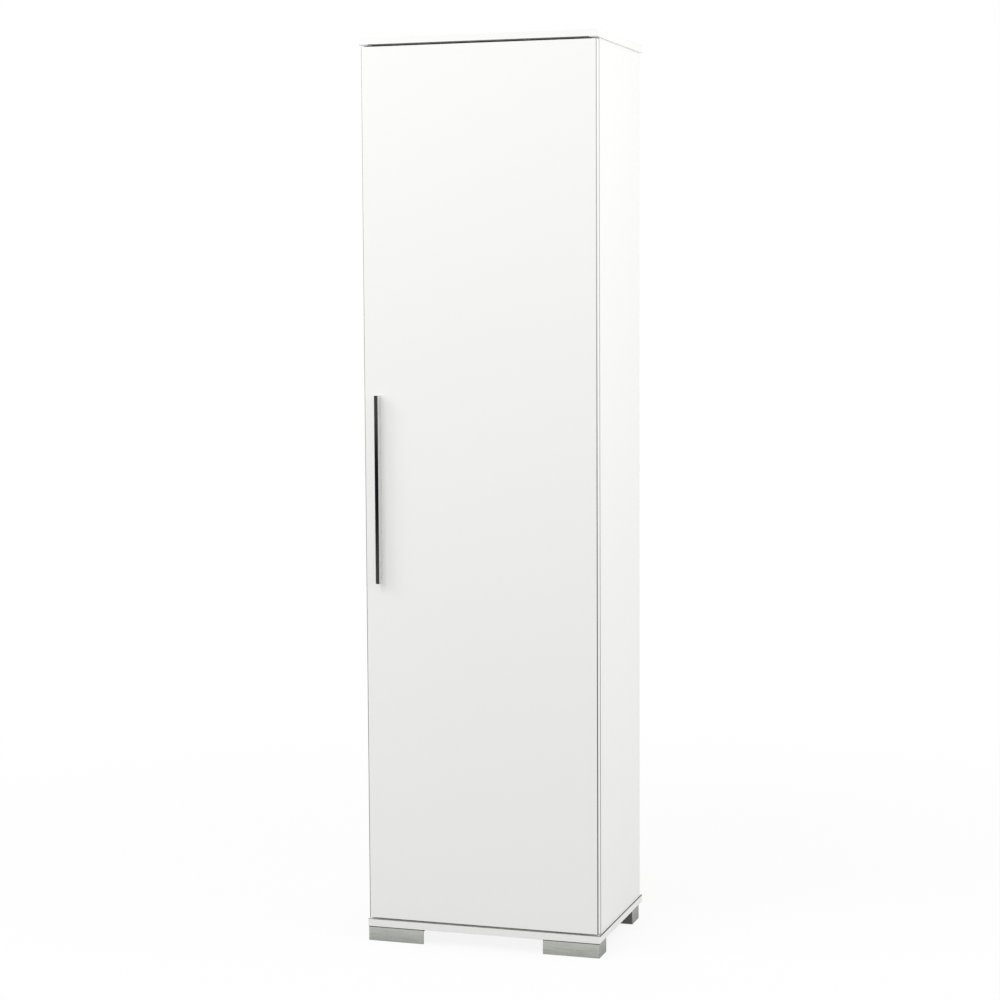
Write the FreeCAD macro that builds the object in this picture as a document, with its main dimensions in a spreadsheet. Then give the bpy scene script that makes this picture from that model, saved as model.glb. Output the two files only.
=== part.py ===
"""Tall broom cupboard with one full-height door on concealed cup hinges.

The frame has +Z up, the door facing -Y and +X to the right seen from the front. The origin is on the
floor, under the middle of the cupboard's bounding box, handle included. All lengths are millimetres.
"""
import FreeCAD, Part
import os
import re

import Sketcher

doc = FreeCAD.newDocument("broom_cupboard")
sheet = doc.addObject("Spreadsheet::Sheet", "sizes")

SIZES = {
    # the whole cupboard
    "cupboard_width": 500,
    "cupboard_depth": 350,
    "cupboard_height": 1860,
    # boards
    "board_thickness": 16,
    "board_overhang": 3.5,
    "edging_thickness": 2,
    "back_thickness": 3,
    "back_recess": 3,
    "back_side_inset": 1.5,
    # door
    "door_thickness": 18,
    "door_gap": 3,
    "hinge_gap": 3,
    # feet
    "foot_height": 30,
    "foot_length": 120,
    "foot_depth": 55,
    "foot_side_inset": 1,
    "foot_rear_inset": 24,
    "foot_edge_radius": 1.5,
    "foot_screw_inset": 30,
    "foot_screw_radius": 2,
    "foot_screw_head_radius": 4,
    "foot_screw_head_height": 2.4,
    "foot_screw_bite": 12,
    "foot_wall": 3,
    "foot_flange": 4,
    # handle, a necked profile screwed on from inside the door
    "handle_projection": 20,
    "handle_length": 386,
    "handle_width": 8,
    "handle_nose_depth": 9,
    "handle_neck_width": 6,
    "handle_edge_inset": 32,
    "handle_screw_spacing": 320,
    "handle_screw_radius": 2,
    "handle_screw_bite": 9,
    "handle_screw_head_radius": 4,
    "handle_screw_head_height": 2.5,
    # shelves, whose tops are measured down from the top board
    "fixed_shelf_drop": 394,
    "loose_shelf_drop": 204,
    "shelf_front_inset": 12,
    "loose_shelf_end_gap": 1,
    "loose_shelf_rear_gap": 2,
    "shelf_pin_radius": 2.5,
    "shelf_pin_depth": 8,
    "shelf_pin_reach": 7,
    "shelf_pin_collar_radius": 4,
    "shelf_pin_collar": 0.8,
    "shelf_pin_inset": 37,
    "shelf_hole_pitch": 32,
    # cam fittings and dowels
    "cam_radius": 7.5,
    "cam_depth": 12.5,
    "cam_distance": 24,
    "cam_inset": 45,
    "cam_cap_radius": 8.5,
    "cam_cap_thickness": 1,
    "bolt_radius": 3,
    "bolt_thread_radius": 2.5,
    "bolt_thread_length": 11,
    "bolt_channel_radius": 4,
    "dowel_radius": 4,
    "dowel_seat": 11,
    "dowel_length": 30,
    "dowel_inset": 77,
    # nails of the back panel
    "nail_radius": 0.7,
    "nail_length": 20,
    "nail_head_radius": 1.8,
    "nail_head_height": 0.8,
    "nail_end_inset": 60,
    # concealed hinges: insets are from the door's hinge edge, sinks and rises from its back face
    "hinge_end_inset": 95,
    "cup_radius": 17.5,
    "cup_depth": 11.5,
    "cup_edge_distance": 4,
    "cup_floor": 1.2,
    "cup_pocket_width": 14.8,
    "cup_pocket_wall": 1.5,
    "cup_flange_thickness": 1.2,
    "cup_flange_length": 62,
    "cup_flange_width": 27,
    "cup_ear_height": 2,
    "cup_ear_length": 7,
    "cup_ear_thickness": 2,
    "cup_screw_spacing": 52,
    "cup_screw_setback": 5.5,
    "cup_screw_radius": 1.75,
    "cup_screw_bite": 11,
    "cup_screw_head_radius": 3.3,
    "cup_screw_head_height": 1.8,
    "arm_pin_inset": 32.7,
    "arm_pin_sink": 5,
    "cup_pin_inset": 13.4,
    "cup_pin_sink": 3.6,
    "rear_pin_inset": 36.7,
    "rear_pin_rise": 10.6,
    "rim_pin_inset": 10,
    "rim_pin_sink": 0.3,
    "pin_radius": 1.2,
    "rim_pin_radius": 1,
    "pin_wall_bite": 1.8,
    "rear_slot_radius": 3.2,
    "outer_link_thickness": 5.6,
    "outer_link_width": 3.6,
    "outer_link_eye_radius": 2.4,
    "inner_link_cheek": 1.4,
    "inner_link_space": 6.8,
    "inner_link_width": 2.6,
    "inner_link_eye_radius": 2,
    "inner_link_hub_radius": 2.6,
    "inner_link_bend_inset": 18.5,
    "inner_link_bend_rise": 1.7,
    "arm_width": 13.2,
    "arm_sheet": 1.4,
    "arm_height": 27,
    "arm_reach": 64,
    "arm_tip_radius": 3,
    "arm_foot_rise": 8,
    "arm_tip_rise": 2.5,
    "arm_neck_rise": 18,
    "arm_screw_radius": 2.4,
    "arm_screw_head_radius": 4,
    "arm_screw_head_height": 2,
    "arm_screw_bite": 9,
    "arm_front_screw_rise": 34,
    "arm_rear_screw_rise": 54,
    "plate_thickness": 2.5,
    "plate_wing_length": 48,
    "plate_wing_depth": 14,
    "plate_setback": 37,
    "plate_block_length": 36,
    "plate_screw_spacing": 32,
    "plate_screw_radius": 2.5,
    "plate_screw_bite": 11,
    "plate_screw_head_radius": 4.5,
    "plate_screw_head_height": 2.2,
    # soft stops on the door's back, opposite the hinges
    "bumper_radius": 4,
    "bumper_end_inset": 60,
    # fits
    "fit_clearance": 0.1,
    "pin_clearance": 0.06,
    "slide_clearance": 0.3,
    "cut_overrun": 2,
}

for row, (alias, value) in enumerate(SIZES.items(), start=1):
    sheet.set(f"A{row}", alias.replace("_", " "))
    sheet.set(f"B{row}", str(value))
    sheet.setAlias(f"B{row}", alias)
doc.recompute()

# Places that follow from the sizes, as formulas on them.
PLACES = {
    "half_width": "cupboard_width / 2",
    "front": "(handle_projection - cupboard_depth) / 2",
    "rear": "front + cupboard_depth",
    "side_out": "half_width - board_overhang",
    "side_in": "side_out - board_thickness",
    "side_middle": "side_out - board_thickness / 2",
    "side_front": "front + door_thickness + hinge_gap",
    "back_face": "rear - back_recess",
    "side_rear": "back_face - back_thickness",
    "floor_top": "foot_height + board_thickness",
    "roof_low": "cupboard_height - board_thickness",
    "door_low": "floor_top + door_gap",
    "door_high": "roof_low - door_gap",
    "door_back": "front + door_thickness",
    "foot_out": "half_width - foot_side_inset",
    "shelf_front": "side_front + shelf_front_inset",
    "fixed_shelf_height": "roof_low - fixed_shelf_drop",
    "loose_shelf_height": "roof_low - loose_shelf_drop",
    "fixed_shelf_low": "fixed_shelf_height - board_thickness",
    "fixed_shelf_middle": "fixed_shelf_height - board_thickness / 2",
    "loose_shelf_low": "loose_shelf_height - board_thickness",
    "loose_shelf_out": "side_in - loose_shelf_end_gap",
    "loose_shelf_rear": "side_rear - loose_shelf_rear_gap",
    "shelf_pin_height": "loose_shelf_low - shelf_pin_radius",
    "shelf_pin_y_front": "shelf_front + shelf_pin_inset",
    "shelf_pin_y_rear": "loose_shelf_rear - shelf_pin_inset",
    "cam_y_front": "side_front + cam_inset",
    "cam_y_rear": "side_rear - cam_inset",
    "dowel_y_front": "side_front + dowel_inset",
    "dowel_y_rear": "side_rear - dowel_inset",
    "handle_x": "handle_edge_inset - side_out",
    "handle_shoulder": "(handle_width - handle_neck_width) / 2",
    "door_middle": "(door_low + door_high) / 2",
    "hinge_span": "door_high - door_low - 2 * hinge_end_inset",
    "cup_x": "side_out - cup_edge_distance - cup_radius",
    "cup_bottom": "door_back - cup_depth",
    "cup_ear_low": "door_back - cup_depth / 2",
    "cup_ear_breadth": "cup_pocket_width + 2 * cup_ear_thickness",
    "cup_pin_length": "cup_pocket_width + 2 * pin_wall_bite",
    "pocket_in": "cup_x - cup_radius + cup_pocket_wall",
    "pocket_out": "cup_x + cup_radius - cup_pocket_wall",
    "arm_pin_x": "side_out - arm_pin_inset",
    "arm_pin_y": "door_back - arm_pin_sink",
    "cup_pin_x": "side_out - cup_pin_inset",
    "cup_pin_y": "door_back - cup_pin_sink",
    "rear_pin_x": "side_out - rear_pin_inset",
    "rear_pin_y": "door_back + rear_pin_rise",
    "rim_pin_x": "side_out - rim_pin_inset",
    "rim_pin_y": "door_back - rim_pin_sink",
    "link_bend_x": "side_out - inner_link_bend_inset",
    "link_bend_y": "door_back + inner_link_bend_rise",
    "inner_link_breadth": "inner_link_space + 2 * inner_link_cheek",
    "arm_top": "side_in - arm_height",
    "arm_inside": "arm_top + arm_sheet",
    "arm_hollow_width": "arm_width - 2 * arm_sheet",
    "arm_tip_y": "arm_pin_y - arm_tip_radius",
    "arm_rear": "arm_tip_y + arm_reach",
    "arm_tip_depth": "arm_pin_sink + arm_tip_radius",
    "arm_tip_drop": "arm_pin_x - arm_tip_radius - arm_top",
    "arm_cheek_drop": "arm_height - plate_thickness - slide_clearance",
    "plate_y": "side_front + plate_setback",
    "plate_face": "side_in - plate_thickness",
}
WORD = re.compile(r"[a-z_]+")
AXES = {"x": FreeCAD.Vector(1, 0, 0), "y": FreeCAD.Vector(0, 1, 0), "z": FreeCAD.Vector(0, 0, 1)}
SIDES = ("left", "right")
ROWS = ("front", "rear")
ENDS = {"low": "-", "high": "+"}
OPPOSITE = {"-": "+", "+": "-"}
nodes = []
drilling = {name: [] for name in ("top", "bottom", "left", "right", "fixed_shelf", "door")}


def formula(text):
    """Write a formula of sizes and places as a sheet expression."""
    def swap(match):
        word = match.group(0)
        if word in PLACES:
            return f"({formula(PLACES[word])})"
        return f"<<sizes>>.{word}" if word in SIZES else word
    return WORD.sub(swap, str(text))


def bind(obj, **formulas):
    """Tie an object's properties to formulas, with x, y and z standing for its place."""
    for name, text in formulas.items():
        path = f".Placement.Base.{name}" if name in AXES else name
        obj.setExpression(path, formula(text))
    return obj


def node(obj, label):
    """Name an object as one of the cupboard's pieces."""
    obj.Label = label
    nodes.append(obj)
    return obj


def across(side, place):
    """Give a distance from the middle as a place on one side."""
    return f"-({place})" if side == "left" else place


def mirrored(side, near, far):
    """Give two distances from the middle as low and high places on one side."""
    return (f"-({far})", f"-({near})") if side == "left" else (near, far)


def about(middle, width):
    """Give the low and high places of a width about its middle."""
    return f"({middle}) - ({width}) / 2", f"({middle}) + ({width}) / 2"


def beyond(way, start, length):
    """Give the place a length from a start, up or down an axis."""
    return f"({start}) {way} ({length})"


def run(way, start, length):
    """Give the low and high ends of a length from a start, up or down an axis."""
    end = beyond(way, start, length)
    return (end, start) if way == "-" else (start, end)


def box(name, x, y, z):
    """Make a box between two places on each axis."""
    made = doc.addObject("Part::Box", name)
    return bind(
        made,
        Length=f"({x[1]}) - ({x[0]})",
        Width=f"({y[1]}) - ({y[0]})",
        Height=f"({z[1]}) - ({z[0]})",
        x=x[0],
        y=y[0],
        z=z[0],
    )


def rod(name, along, radius, start, end, at):
    """Make a round rod along one axis, from start to end, at two places on the other axes."""
    made = doc.addObject("Part::Cylinder", name)
    made.Placement.Rotation = FreeCAD.Rotation(AXES["z"], AXES[along])
    places = dict(zip([axis for axis in AXES if axis != along], at))
    places[along] = start
    return bind(made, Radius=radius, Height=f"({end}) - ({start})", **places)


def fuse(name, *pieces):
    """Join pieces into one solid."""
    made = doc.addObject("Part::MultiFuse", name)
    made.Shapes = list(pieces)
    made.Refine = True
    return made


def group(name, pieces):
    """Hold separate solids together."""
    made = doc.addObject("Part::Compound", name)
    made.Links = list(pieces)
    return made


def cut(name, base, *tools):
    """Take tools out of a piece."""
    made = doc.addObject("Part::Cut", name)
    made.Base = base
    made.Tool = tools[0] if len(tools) == 1 else fuse(f"{name}_tools", *tools)
    return made


def screw(name, along, kind, way, seat, length, spot):
    """Make a screw with its head on a seat and its shank going one way, and the hole that takes it."""
    back = OPPOSITE[way]
    shank = rod(f"{name}_shank", along, f"{kind}_radius", *run(way, seat, length), spot)
    head = rod(f"{name}_head", along, f"{kind}_head_radius", *run(back, seat, f"{kind}_head_height"), spot)
    hole = rod(
        f"{name}_hole", along, f"{kind}_radius + fit_clearance",
        *run(way, beyond(back, seat, "cut_overrun"), f"{length} + cut_overrun + fit_clearance"), spot,
    )
    return fuse(name, shank, head), hole


def padded_profile(name, plane, corners, length):
    """Make a body by padding an outline of straight sides, whose corners are formulas from zero up."""
    body = doc.addObject("PartDesign::Body", name)
    outline = body.newObject("Sketcher::SketchObject", f"{name}_outline")
    base = [item for item in body.Origin.OriginFeatures if item.Role == plane][0]
    outline.AttachmentSupport = [(base, "")]
    outline.MapMode = "FlatFace"
    spots = [
        FreeCAD.Vector(*(float(sheet.evalExpression(formula(place))) for place in corner), 0)
        for corner in corners
    ]
    for index, spot in enumerate(spots):
        outline.addGeometry(Part.LineSegment(spot, spots[(index + 1) % len(spots)]), False)
    for index in range(len(spots)):
        outline.addConstraint(Sketcher.Constraint("Coincident", index, 2, (index + 1) % len(spots), 1))
    for index, (spot, corner) in enumerate(zip(spots, corners)):
        for kind, value, place in zip(("DistanceX", "DistanceY"), (spot.x, spot.y), corner):
            number = outline.addConstraint(Sketcher.Constraint(kind, -1, 1, index, 1, value))
            outline.setExpression(f"Constraints[{number}]", formula(place))
    pad = body.newObject("PartDesign::Pad", f"{name}_pad")
    pad.Profile = outline
    bind(pad, Length=length)
    return body


def link_bar(name, start, end, width, low, high):
    """Make a flat bar between two pin centres, each a pair of places."""
    run_x = f"(({end[0]}) - ({start[0]}))"
    run_y = f"(({end[1]}) - ({start[1]}))"
    turn = f"atan2({run_y}; {run_x})"
    bar = doc.addObject("Part::Box", name)
    bar.Placement.Rotation = FreeCAD.Rotation(AXES["z"], 0)
    bind(
        bar,
        Length=f"sqrt({run_x} * {run_x} + {run_y} * {run_y})",
        Width=width,
        Height=f"({high}) - ({low})",
        x=f"({start[0]}) + ({width}) / 2 * sin({turn})",
        y=f"({start[1]}) - ({width}) / 2 * cos({turn})",
        z=low,
    )
    bar.setExpression(".Placement.Rotation.Angle", formula(turn))
    return bar


# Fittings between the boards: each joint has a cam and a dowel near the front and near the rear.
# What drills a board is made from the same places as what fills it.
JOINT_FACES = {"bottom": ("floor_top", "+"), "top": ("roof_low", "-")}
cams = []
caps = []
bolts = []
dowels = []


def bolt(tag, along, way, face, spot):
    """Make a bolt screwed into one board and reaching a cam in the next, with its channel and pilot."""
    reach = run(way, face, "cam_distance")
    shank = rod(f"bolt_shank_{tag}", along, "bolt_radius", *reach, spot)
    thread = rod(
        f"bolt_thread_{tag}", along, "bolt_thread_radius",
        *run(OPPOSITE[way], face, "bolt_thread_length"), spot,
    )
    bolts.append(fuse(f"bolt_{tag}", shank, thread))
    channel = rod(f"bolt_channel_{tag}", along, "bolt_channel_radius", *reach, spot)
    pilot = rod(
        f"bolt_pilot_{tag}", along, "bolt_thread_radius + fit_clearance",
        *run(OPPOSITE[way], face, "bolt_thread_length + fit_clearance"), spot,
    )
    return channel, pilot


def cam(tag, along, way, face, spot, channel):
    """Make a cam let into a face and its cover cap, and give the seat that the cam turns in."""
    back = OPPOSITE[way]
    blank = rod(f"cam_blank_{tag}", along, "cam_radius", *run(way, face, "cam_depth"), spot)
    cams.append(cut(f"cam_{tag}", blank, channel))
    caps.append(rod(f"cam_cap_{tag}", along, "cam_cap_radius", *run(back, face, "cam_cap_thickness"), spot))
    return rod(
        f"cam_seat_{tag}", along, "cam_radius + fit_clearance",
        *run(way, beyond(back, face, "cut_overrun"), "cam_depth + cut_overrun + fit_clearance"), spot,
    )


def dowel(tag, along, way, face, spot):
    """Make a dowel seated in one board and reaching into the next, and give the hole that takes it."""
    start = beyond(OPPOSITE[way], face, "dowel_seat")
    dowels.append(rod(f"dowel_{tag}", along, "dowel_radius", *run(way, start, "dowel_length"), spot))
    return rod(
        f"dowel_hole_{tag}", along, "dowel_radius + fit_clearance",
        *run(way, beyond(OPPOSITE[way], start, "fit_clearance"), "dowel_length + 2 * fit_clearance"), spot,
    )


for side in SIDES:
    outward, inward = ("-", "+") if side == "left" else ("+", "-")
    side_face = across(side, "side_in")
    middle = across(side, "side_middle")
    for place in ROWS:
        for level, (face, into_side) in JOINT_FACES.items():
            tag = f"{side}_{level}_{place}"
            channel, pilot = bolt(tag, "z", into_side, face, (middle, f"cam_y_{place}"))
            cam_spot = (f"cam_y_{place}", beyond(into_side, face, "cam_distance"))
            seat = cam(tag, "x", outward, side_face, cam_spot, channel)
            hole = dowel(tag, "z", into_side, face, (middle, f"dowel_y_{place}"))
            drilling[side] += [channel, seat, hole]
            drilling[level] += [pilot, hole]

        # the fixed shelf hangs on the same fittings, with its cams in its underside
        tag = f"{side}_shelf_{place}"
        channel, pilot = bolt(tag, "x", inward, side_face, (f"cam_y_{place}", "fixed_shelf_middle"))
        cam_spot = (beyond(inward, side_face, "cam_distance"), f"cam_y_{place}")
        seat = cam(tag, "z", "+", "fixed_shelf_low", cam_spot, channel)
        hole = dowel(tag, "x", inward, side_face, (f"dowel_y_{place}", "fixed_shelf_middle"))
        drilling["fixed_shelf"] += [channel, seat, hole]
        drilling[side] += [pilot, hole]

node(group("cam_lock_set", cams), "cam_locks")
node(group("cam_cap_set", caps), "cam_cover_caps")
node(group("bolt_set", bolts), "cam_bolts")
node(group("dowel_set", dowels), "wooden_dowels")

# Feet: four angle feet under the corners of the bottom board. Each has a front wall and an outer wall,
# under a flange that two screws hold from below.
FOOT_ROWS = {
    "front": ("front", "front + foot_depth"),
    "rear": ("rear - foot_rear_inset - foot_depth", "rear - foot_rear_inset"),
}
FOOT_SCREWS = {"outer": "foot_screw_inset", "inner": "foot_length - foot_screw_inset"}
foot_screws = []


def foot_block(tag, x, y):
    """Make a block with rounded upright edges."""
    block = box(f"{tag}_block", x, y, ("0", "foot_height"))
    doc.recompute()
    rounded = doc.addObject("Part::Fillet", f"{tag}_rounded")
    rounded.Base = block
    radius = float(sheet.foot_edge_radius)
    rounded.Edges = [
        (number, radius, radius) for number, edge in enumerate(block.Shape.Edges, start=1)
        if round(abs(edge.tangentAt(edge.FirstParameter).z)) == 1
    ]
    return rounded


for row, depth in FOOT_ROWS.items():
    for side in SIDES:
        tag = f"{row}_{side}_foot"
        holes = []
        for end, inset in FOOT_SCREWS.items():
            spot = (across(side, f"foot_out - ({inset})"), f"({depth[0]}) + foot_depth / 2")
            made, hole = screw(
                f"{tag}_{end}_screw", "z", "foot_screw", "+", "foot_height - foot_flange",
                "foot_flange + foot_screw_bite", spot,
            )
            foot_screws.append(made)
            holes.append(hole)
            drilling["bottom"].append(hole)
        hollow = box(
            f"{tag}_hollow", mirrored(side, "foot_out - foot_length - cut_overrun", "foot_out - foot_wall"),
            (f"({depth[0]}) + foot_wall", f"({depth[1]}) + cut_overrun"),
            ("-cut_overrun", "foot_height - foot_flange"),
        )
        block = foot_block(tag, mirrored(side, "foot_out - foot_length", "foot_out"), depth)
        node(cut(tag, block, hollow, *holes), tag)
node(group("foot_screw_set", foot_screws), "foot_screws")

# Concealed hinges, four up the right side, all with the same plan.
HINGE_COUNT = 4
HINGE_PIECES = (
    "hinge_mounting_plates", "hinge_plate_screws", "hinge_arms", "hinge_arm_screws", "hinge_arm_pins",
    "hinge_cups", "hinge_cup_screws", "hinge_cup_pins", "hinge_outer_links", "hinge_inner_links",
    "hinge_rear_pins",
)
ARM_PIN = ("arm_pin_x", "arm_pin_y")
CUP_PIN = ("cup_pin_x", "cup_pin_y")
REAR_PIN = ("rear_pin_x", "rear_pin_y")
RIM_PIN = ("rim_pin_x", "rim_pin_y")
LINK_BEND = ("link_bend_x", "link_bend_y")
hinge_parts = {name: [] for name in HINGE_PIECES}


def cup(tag, level):
    """Make a cup with two ears, let into the door's back and held by two screws."""
    barrel = rod(f"{tag}_barrel", "y", "cup_radius", "cup_bottom", "door_back", ("cup_x", level))
    flange = box(
        f"{tag}_flange", about("cup_x", "cup_flange_width"),
        ("door_back", "door_back + cup_flange_thickness"), about(level, "cup_flange_length"),
    )
    ears = box(
        f"{tag}_ears", about("rim_pin_x", "cup_ear_length"),
        ("cup_ear_low", "door_back + cup_ear_height"), about(level, "cup_ear_breadth"),
    )
    pocket = box(
        f"{tag}_pocket", ("pocket_in", "pocket_out"),
        ("cup_bottom + cup_floor", "door_back + cut_overrun"), about(level, "cup_pocket_width"),
    )
    mouth = box(
        f"{tag}_mouth", ("pocket_in", "side_out"),
        ("door_back", "door_back + cup_ear_height + cut_overrun"), about(level, "cup_pocket_width"),
    )
    pin_span = about(level, "cup_pin_length")
    holes = [
        rod(f"{tag}_cup_pin_hole", "z", "pin_radius + pin_clearance", *pin_span, CUP_PIN),
        rod(f"{tag}_rim_pin_hole", "z", "rim_pin_radius + pin_clearance", *pin_span, RIM_PIN),
    ]
    for end, way in ENDS.items():
        spot = ("cup_x - cup_screw_setback", beyond(way, level, "cup_screw_spacing / 2"))
        made, hole = screw(
            f"{tag}_{end}_cup_screw", "y", "cup_screw", "-", "door_back + cup_flange_thickness",
            "cup_flange_thickness + cup_screw_bite", spot,
        )
        hinge_parts["hinge_cup_screws"].append(made)
        holes.append(hole)
        drilling["door"].append(hole)
    blank = fuse(f"{tag}_cup_blank", barrel, flange, ears)
    hinge_parts["hinge_cups"].append(cut(f"{tag}_cup", blank, pocket, mouth, *holes))


def cup_recess(tag, level):
    """Bore the door for a cup and slot it for the cup's ears."""
    bore = rod(
        f"{tag}_cup_bore", "y", "cup_radius + fit_clearance",
        "cup_bottom - fit_clearance", "door_back + cut_overrun", ("cup_x", level),
    )
    slot = box(
        f"{tag}_ear_slot", about("rim_pin_x", "cup_ear_length + 2 * fit_clearance"),
        ("cup_ear_low - fit_clearance", "door_back + cut_overrun"),
        about(level, "cup_ear_breadth + 2 * fit_clearance"),
    )
    drilling["door"] += [bore, slot]


def cup_pins(tag, level):
    """Make the pin across the cup that the outer link turns on, and the inner link's two rim stubs."""
    pins = hinge_parts["hinge_cup_pins"]
    pins.append(rod(f"{tag}_cup_pin", "z", "pin_radius", *about(level, "cup_pin_length"), CUP_PIN))
    for end, way in ENDS.items():
        start = beyond(way, level, "inner_link_space / 2")
        span = run(way, start, "(cup_pin_length - inner_link_space) / 2")
        pins.append(rod(f"{tag}_{end}_rim_pin", "z", "rim_pin_radius", *span, RIM_PIN))


def outer_link(tag, level):
    """Make the thick link from the arm's tip to the deep cup pin."""
    span = about(level, "outer_link_thickness")
    through = about(level, "outer_link_thickness + 2 * cut_overrun")
    eyes = []
    bores = []
    for end, spot in (("arm", ARM_PIN), ("cup", CUP_PIN)):
        eyes.append(rod(f"{tag}_outer_{end}_eye", "z", "outer_link_eye_radius", *span, spot))
        bores.append(rod(f"{tag}_outer_{end}_bore", "z", "pin_radius + pin_clearance", *through, spot))
    bar = link_bar(f"{tag}_outer_bar", ARM_PIN, CUP_PIN, "outer_link_width", *span)
    blank = fuse(f"{tag}_outer_blank", bar, *eyes)
    hinge_parts["hinge_outer_links"].append(cut(f"{tag}_outer_link", blank, *bores))


def inner_link(tag, level):
    """Make the cranked link that straddles the outer link, from the arm's rear pin to the cup's rim."""
    through = about(level, "inner_link_breadth + 2 * cut_overrun")
    hub_span = about(level, "inner_link_breadth")
    pieces = [rod(f"{tag}_inner_hub", "z", "inner_link_hub_radius", *hub_span, REAR_PIN)]
    for end, way in ENDS.items():
        name = f"{tag}_{end}_cheek"
        span = run(way, beyond(way, level, "inner_link_space / 2"), "inner_link_cheek")
        pieces += [
            link_bar(f"{name}_bar", REAR_PIN, LINK_BEND, "inner_link_width", *span),
            link_bar(f"{name}_tail", LINK_BEND, RIM_PIN, "inner_link_width", *span),
            rod(f"{name}_bend", "z", "inner_link_width / 2", *span, LINK_BEND),
            rod(f"{name}_eye", "z", "inner_link_eye_radius", *span, RIM_PIN),
        ]
    bores = [
        rod(f"{tag}_inner_rim_bore", "z", "rim_pin_radius + pin_clearance", *through, RIM_PIN),
        rod(f"{tag}_inner_rear_bore", "z", "pin_radius + pin_clearance", *through, REAR_PIN),
    ]
    blank = fuse(f"{tag}_inner_blank", *pieces)
    hinge_parts["hinge_inner_links"].append(cut(f"{tag}_inner_link", blank, *bores))
    rear_pin = rod(f"{tag}_rear_pin", "z", "pin_radius", *about(level, "arm_width"), REAR_PIN)
    hinge_parts["hinge_rear_pins"].append(rear_pin)


def arm(tag, level):
    """Make the folded channel over the mounting block, its tip in the cup; give its screws' holes."""
    channel = padded_profile(f"{tag}_arm_channel", "XY_Plane", (
        ("0", "arm_tip_depth + arm_foot_rise"),
        ("arm_tip_drop", "arm_tip_depth + arm_tip_rise"),
        ("arm_tip_drop", "0"),
        ("arm_tip_drop + 2 * arm_tip_radius", "0"),
        ("arm_tip_drop + 2 * arm_tip_radius", "arm_neck_rise"),
        ("arm_cheek_drop", "arm_neck_rise + arm_foot_rise"),
        ("arm_cheek_drop", "arm_reach"),
        ("0", "arm_reach"),
    ), "arm_width")
    bind(channel, x="arm_top", y="arm_tip_y", z=about(level, "arm_width")[0])
    hollow = box(
        f"{tag}_arm_hollow", ("arm_inside", "side_in"),
        ("arm_tip_y - cut_overrun", "arm_rear + cut_overrun"), about(level, "arm_hollow_width"),
    )
    through = about(level, "arm_width + 2 * cut_overrun")
    holes = [
        rod(f"{tag}_arm_pin_hole", "z", "pin_radius + pin_clearance", *through, ARM_PIN),
        rod(f"{tag}_rear_slot", "z", "rear_slot_radius", *through, REAR_PIN),
    ]
    screw_holes = []
    for row in ROWS:
        made, hole = screw(
            f"{tag}_arm_{row}_screw", "x", "arm_screw", "+", "arm_top", "arm_sheet + arm_screw_bite",
            (f"door_back + arm_{row}_screw_rise", level),
        )
        hinge_parts["hinge_arm_screws"].append(made)
        screw_holes.append(hole)
    hinge_parts["hinge_arms"].append(cut(f"{tag}_arm", channel, hollow, *holes, *screw_holes))
    arm_pin = rod(f"{tag}_arm_pin", "z", "pin_radius", *about(level, "arm_width"), ARM_PIN)
    hinge_parts["hinge_arm_pins"].append(arm_pin)
    return screw_holes


def mounting_plate(tag, level, arm_screw_holes):
    """Make the winged plate screwed to the side panel, with the block that carries the arm."""
    wings = box(
        f"{tag}_plate_wings", ("plate_face", "side_in"),
        about("plate_y", "plate_wing_depth"), about(level, "plate_wing_length"),
    )
    block = box(
        f"{tag}_plate_block", ("arm_inside", "side_in"), ("arm_rear - plate_block_length", "arm_rear"),
        about(level, "arm_hollow_width - 2 * slide_clearance"),
    )
    holes = []
    for end, way in ENDS.items():
        made, hole = screw(
            f"{tag}_{end}_plate_screw", "x", "plate_screw", "+", "plate_face",
            "plate_thickness + plate_screw_bite",
            ("plate_y", beyond(way, level, "plate_screw_spacing / 2")),
        )
        hinge_parts["hinge_plate_screws"].append(made)
        holes.append(hole)
    blank = fuse(f"{tag}_plate_blank", wings, block)
    plate = cut(f"{tag}_plate", blank, *holes, *arm_screw_holes)
    hinge_parts["hinge_mounting_plates"].append(plate)
    drilling["right"] += holes


for number in range(HINGE_COUNT):
    share = number / (HINGE_COUNT - 1)
    level = f"door_low + hinge_end_inset + hinge_span * {share}"
    tag = f"hinge_{number + 1}"
    cup(tag, level)
    cup_recess(tag, level)
    cup_pins(tag, level)
    outer_link(tag, level)
    inner_link(tag, level)
    mounting_plate(tag, level, arm(tag, level))
for label, pieces in hinge_parts.items():
    node(group(f"{label}_set", pieces), label)

# Top and bottom boards, banded on the three edges that show.
BOARD_LEVELS = {
    "bottom": ("foot_height", "floor_top"),
    "top": ("roof_low", "cupboard_height"),
}
for level, height in BOARD_LEVELS.items():
    behind_band = ("front + edging_thickness", "rear")
    core = box(
        f"{level}_core", ("edging_thickness - half_width", "half_width - edging_thickness"),
        behind_band, height,
    )
    node(cut(f"{level}_panel", core, *drilling[level]), f"{level}_panel")
    bands = [
        box(f"{level}_{side}_band", mirrored(side, "half_width - edging_thickness", "half_width"),
            behind_band, height)
        for side in SIDES
    ]
    front_depth = ("front", "front + edging_thickness")
    bands.append(box(f"{level}_front_band", ("-half_width", "half_width"), front_depth, height))
    node(group(f"{level}_bands", bands), f"{level}_panel_edging")

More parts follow.
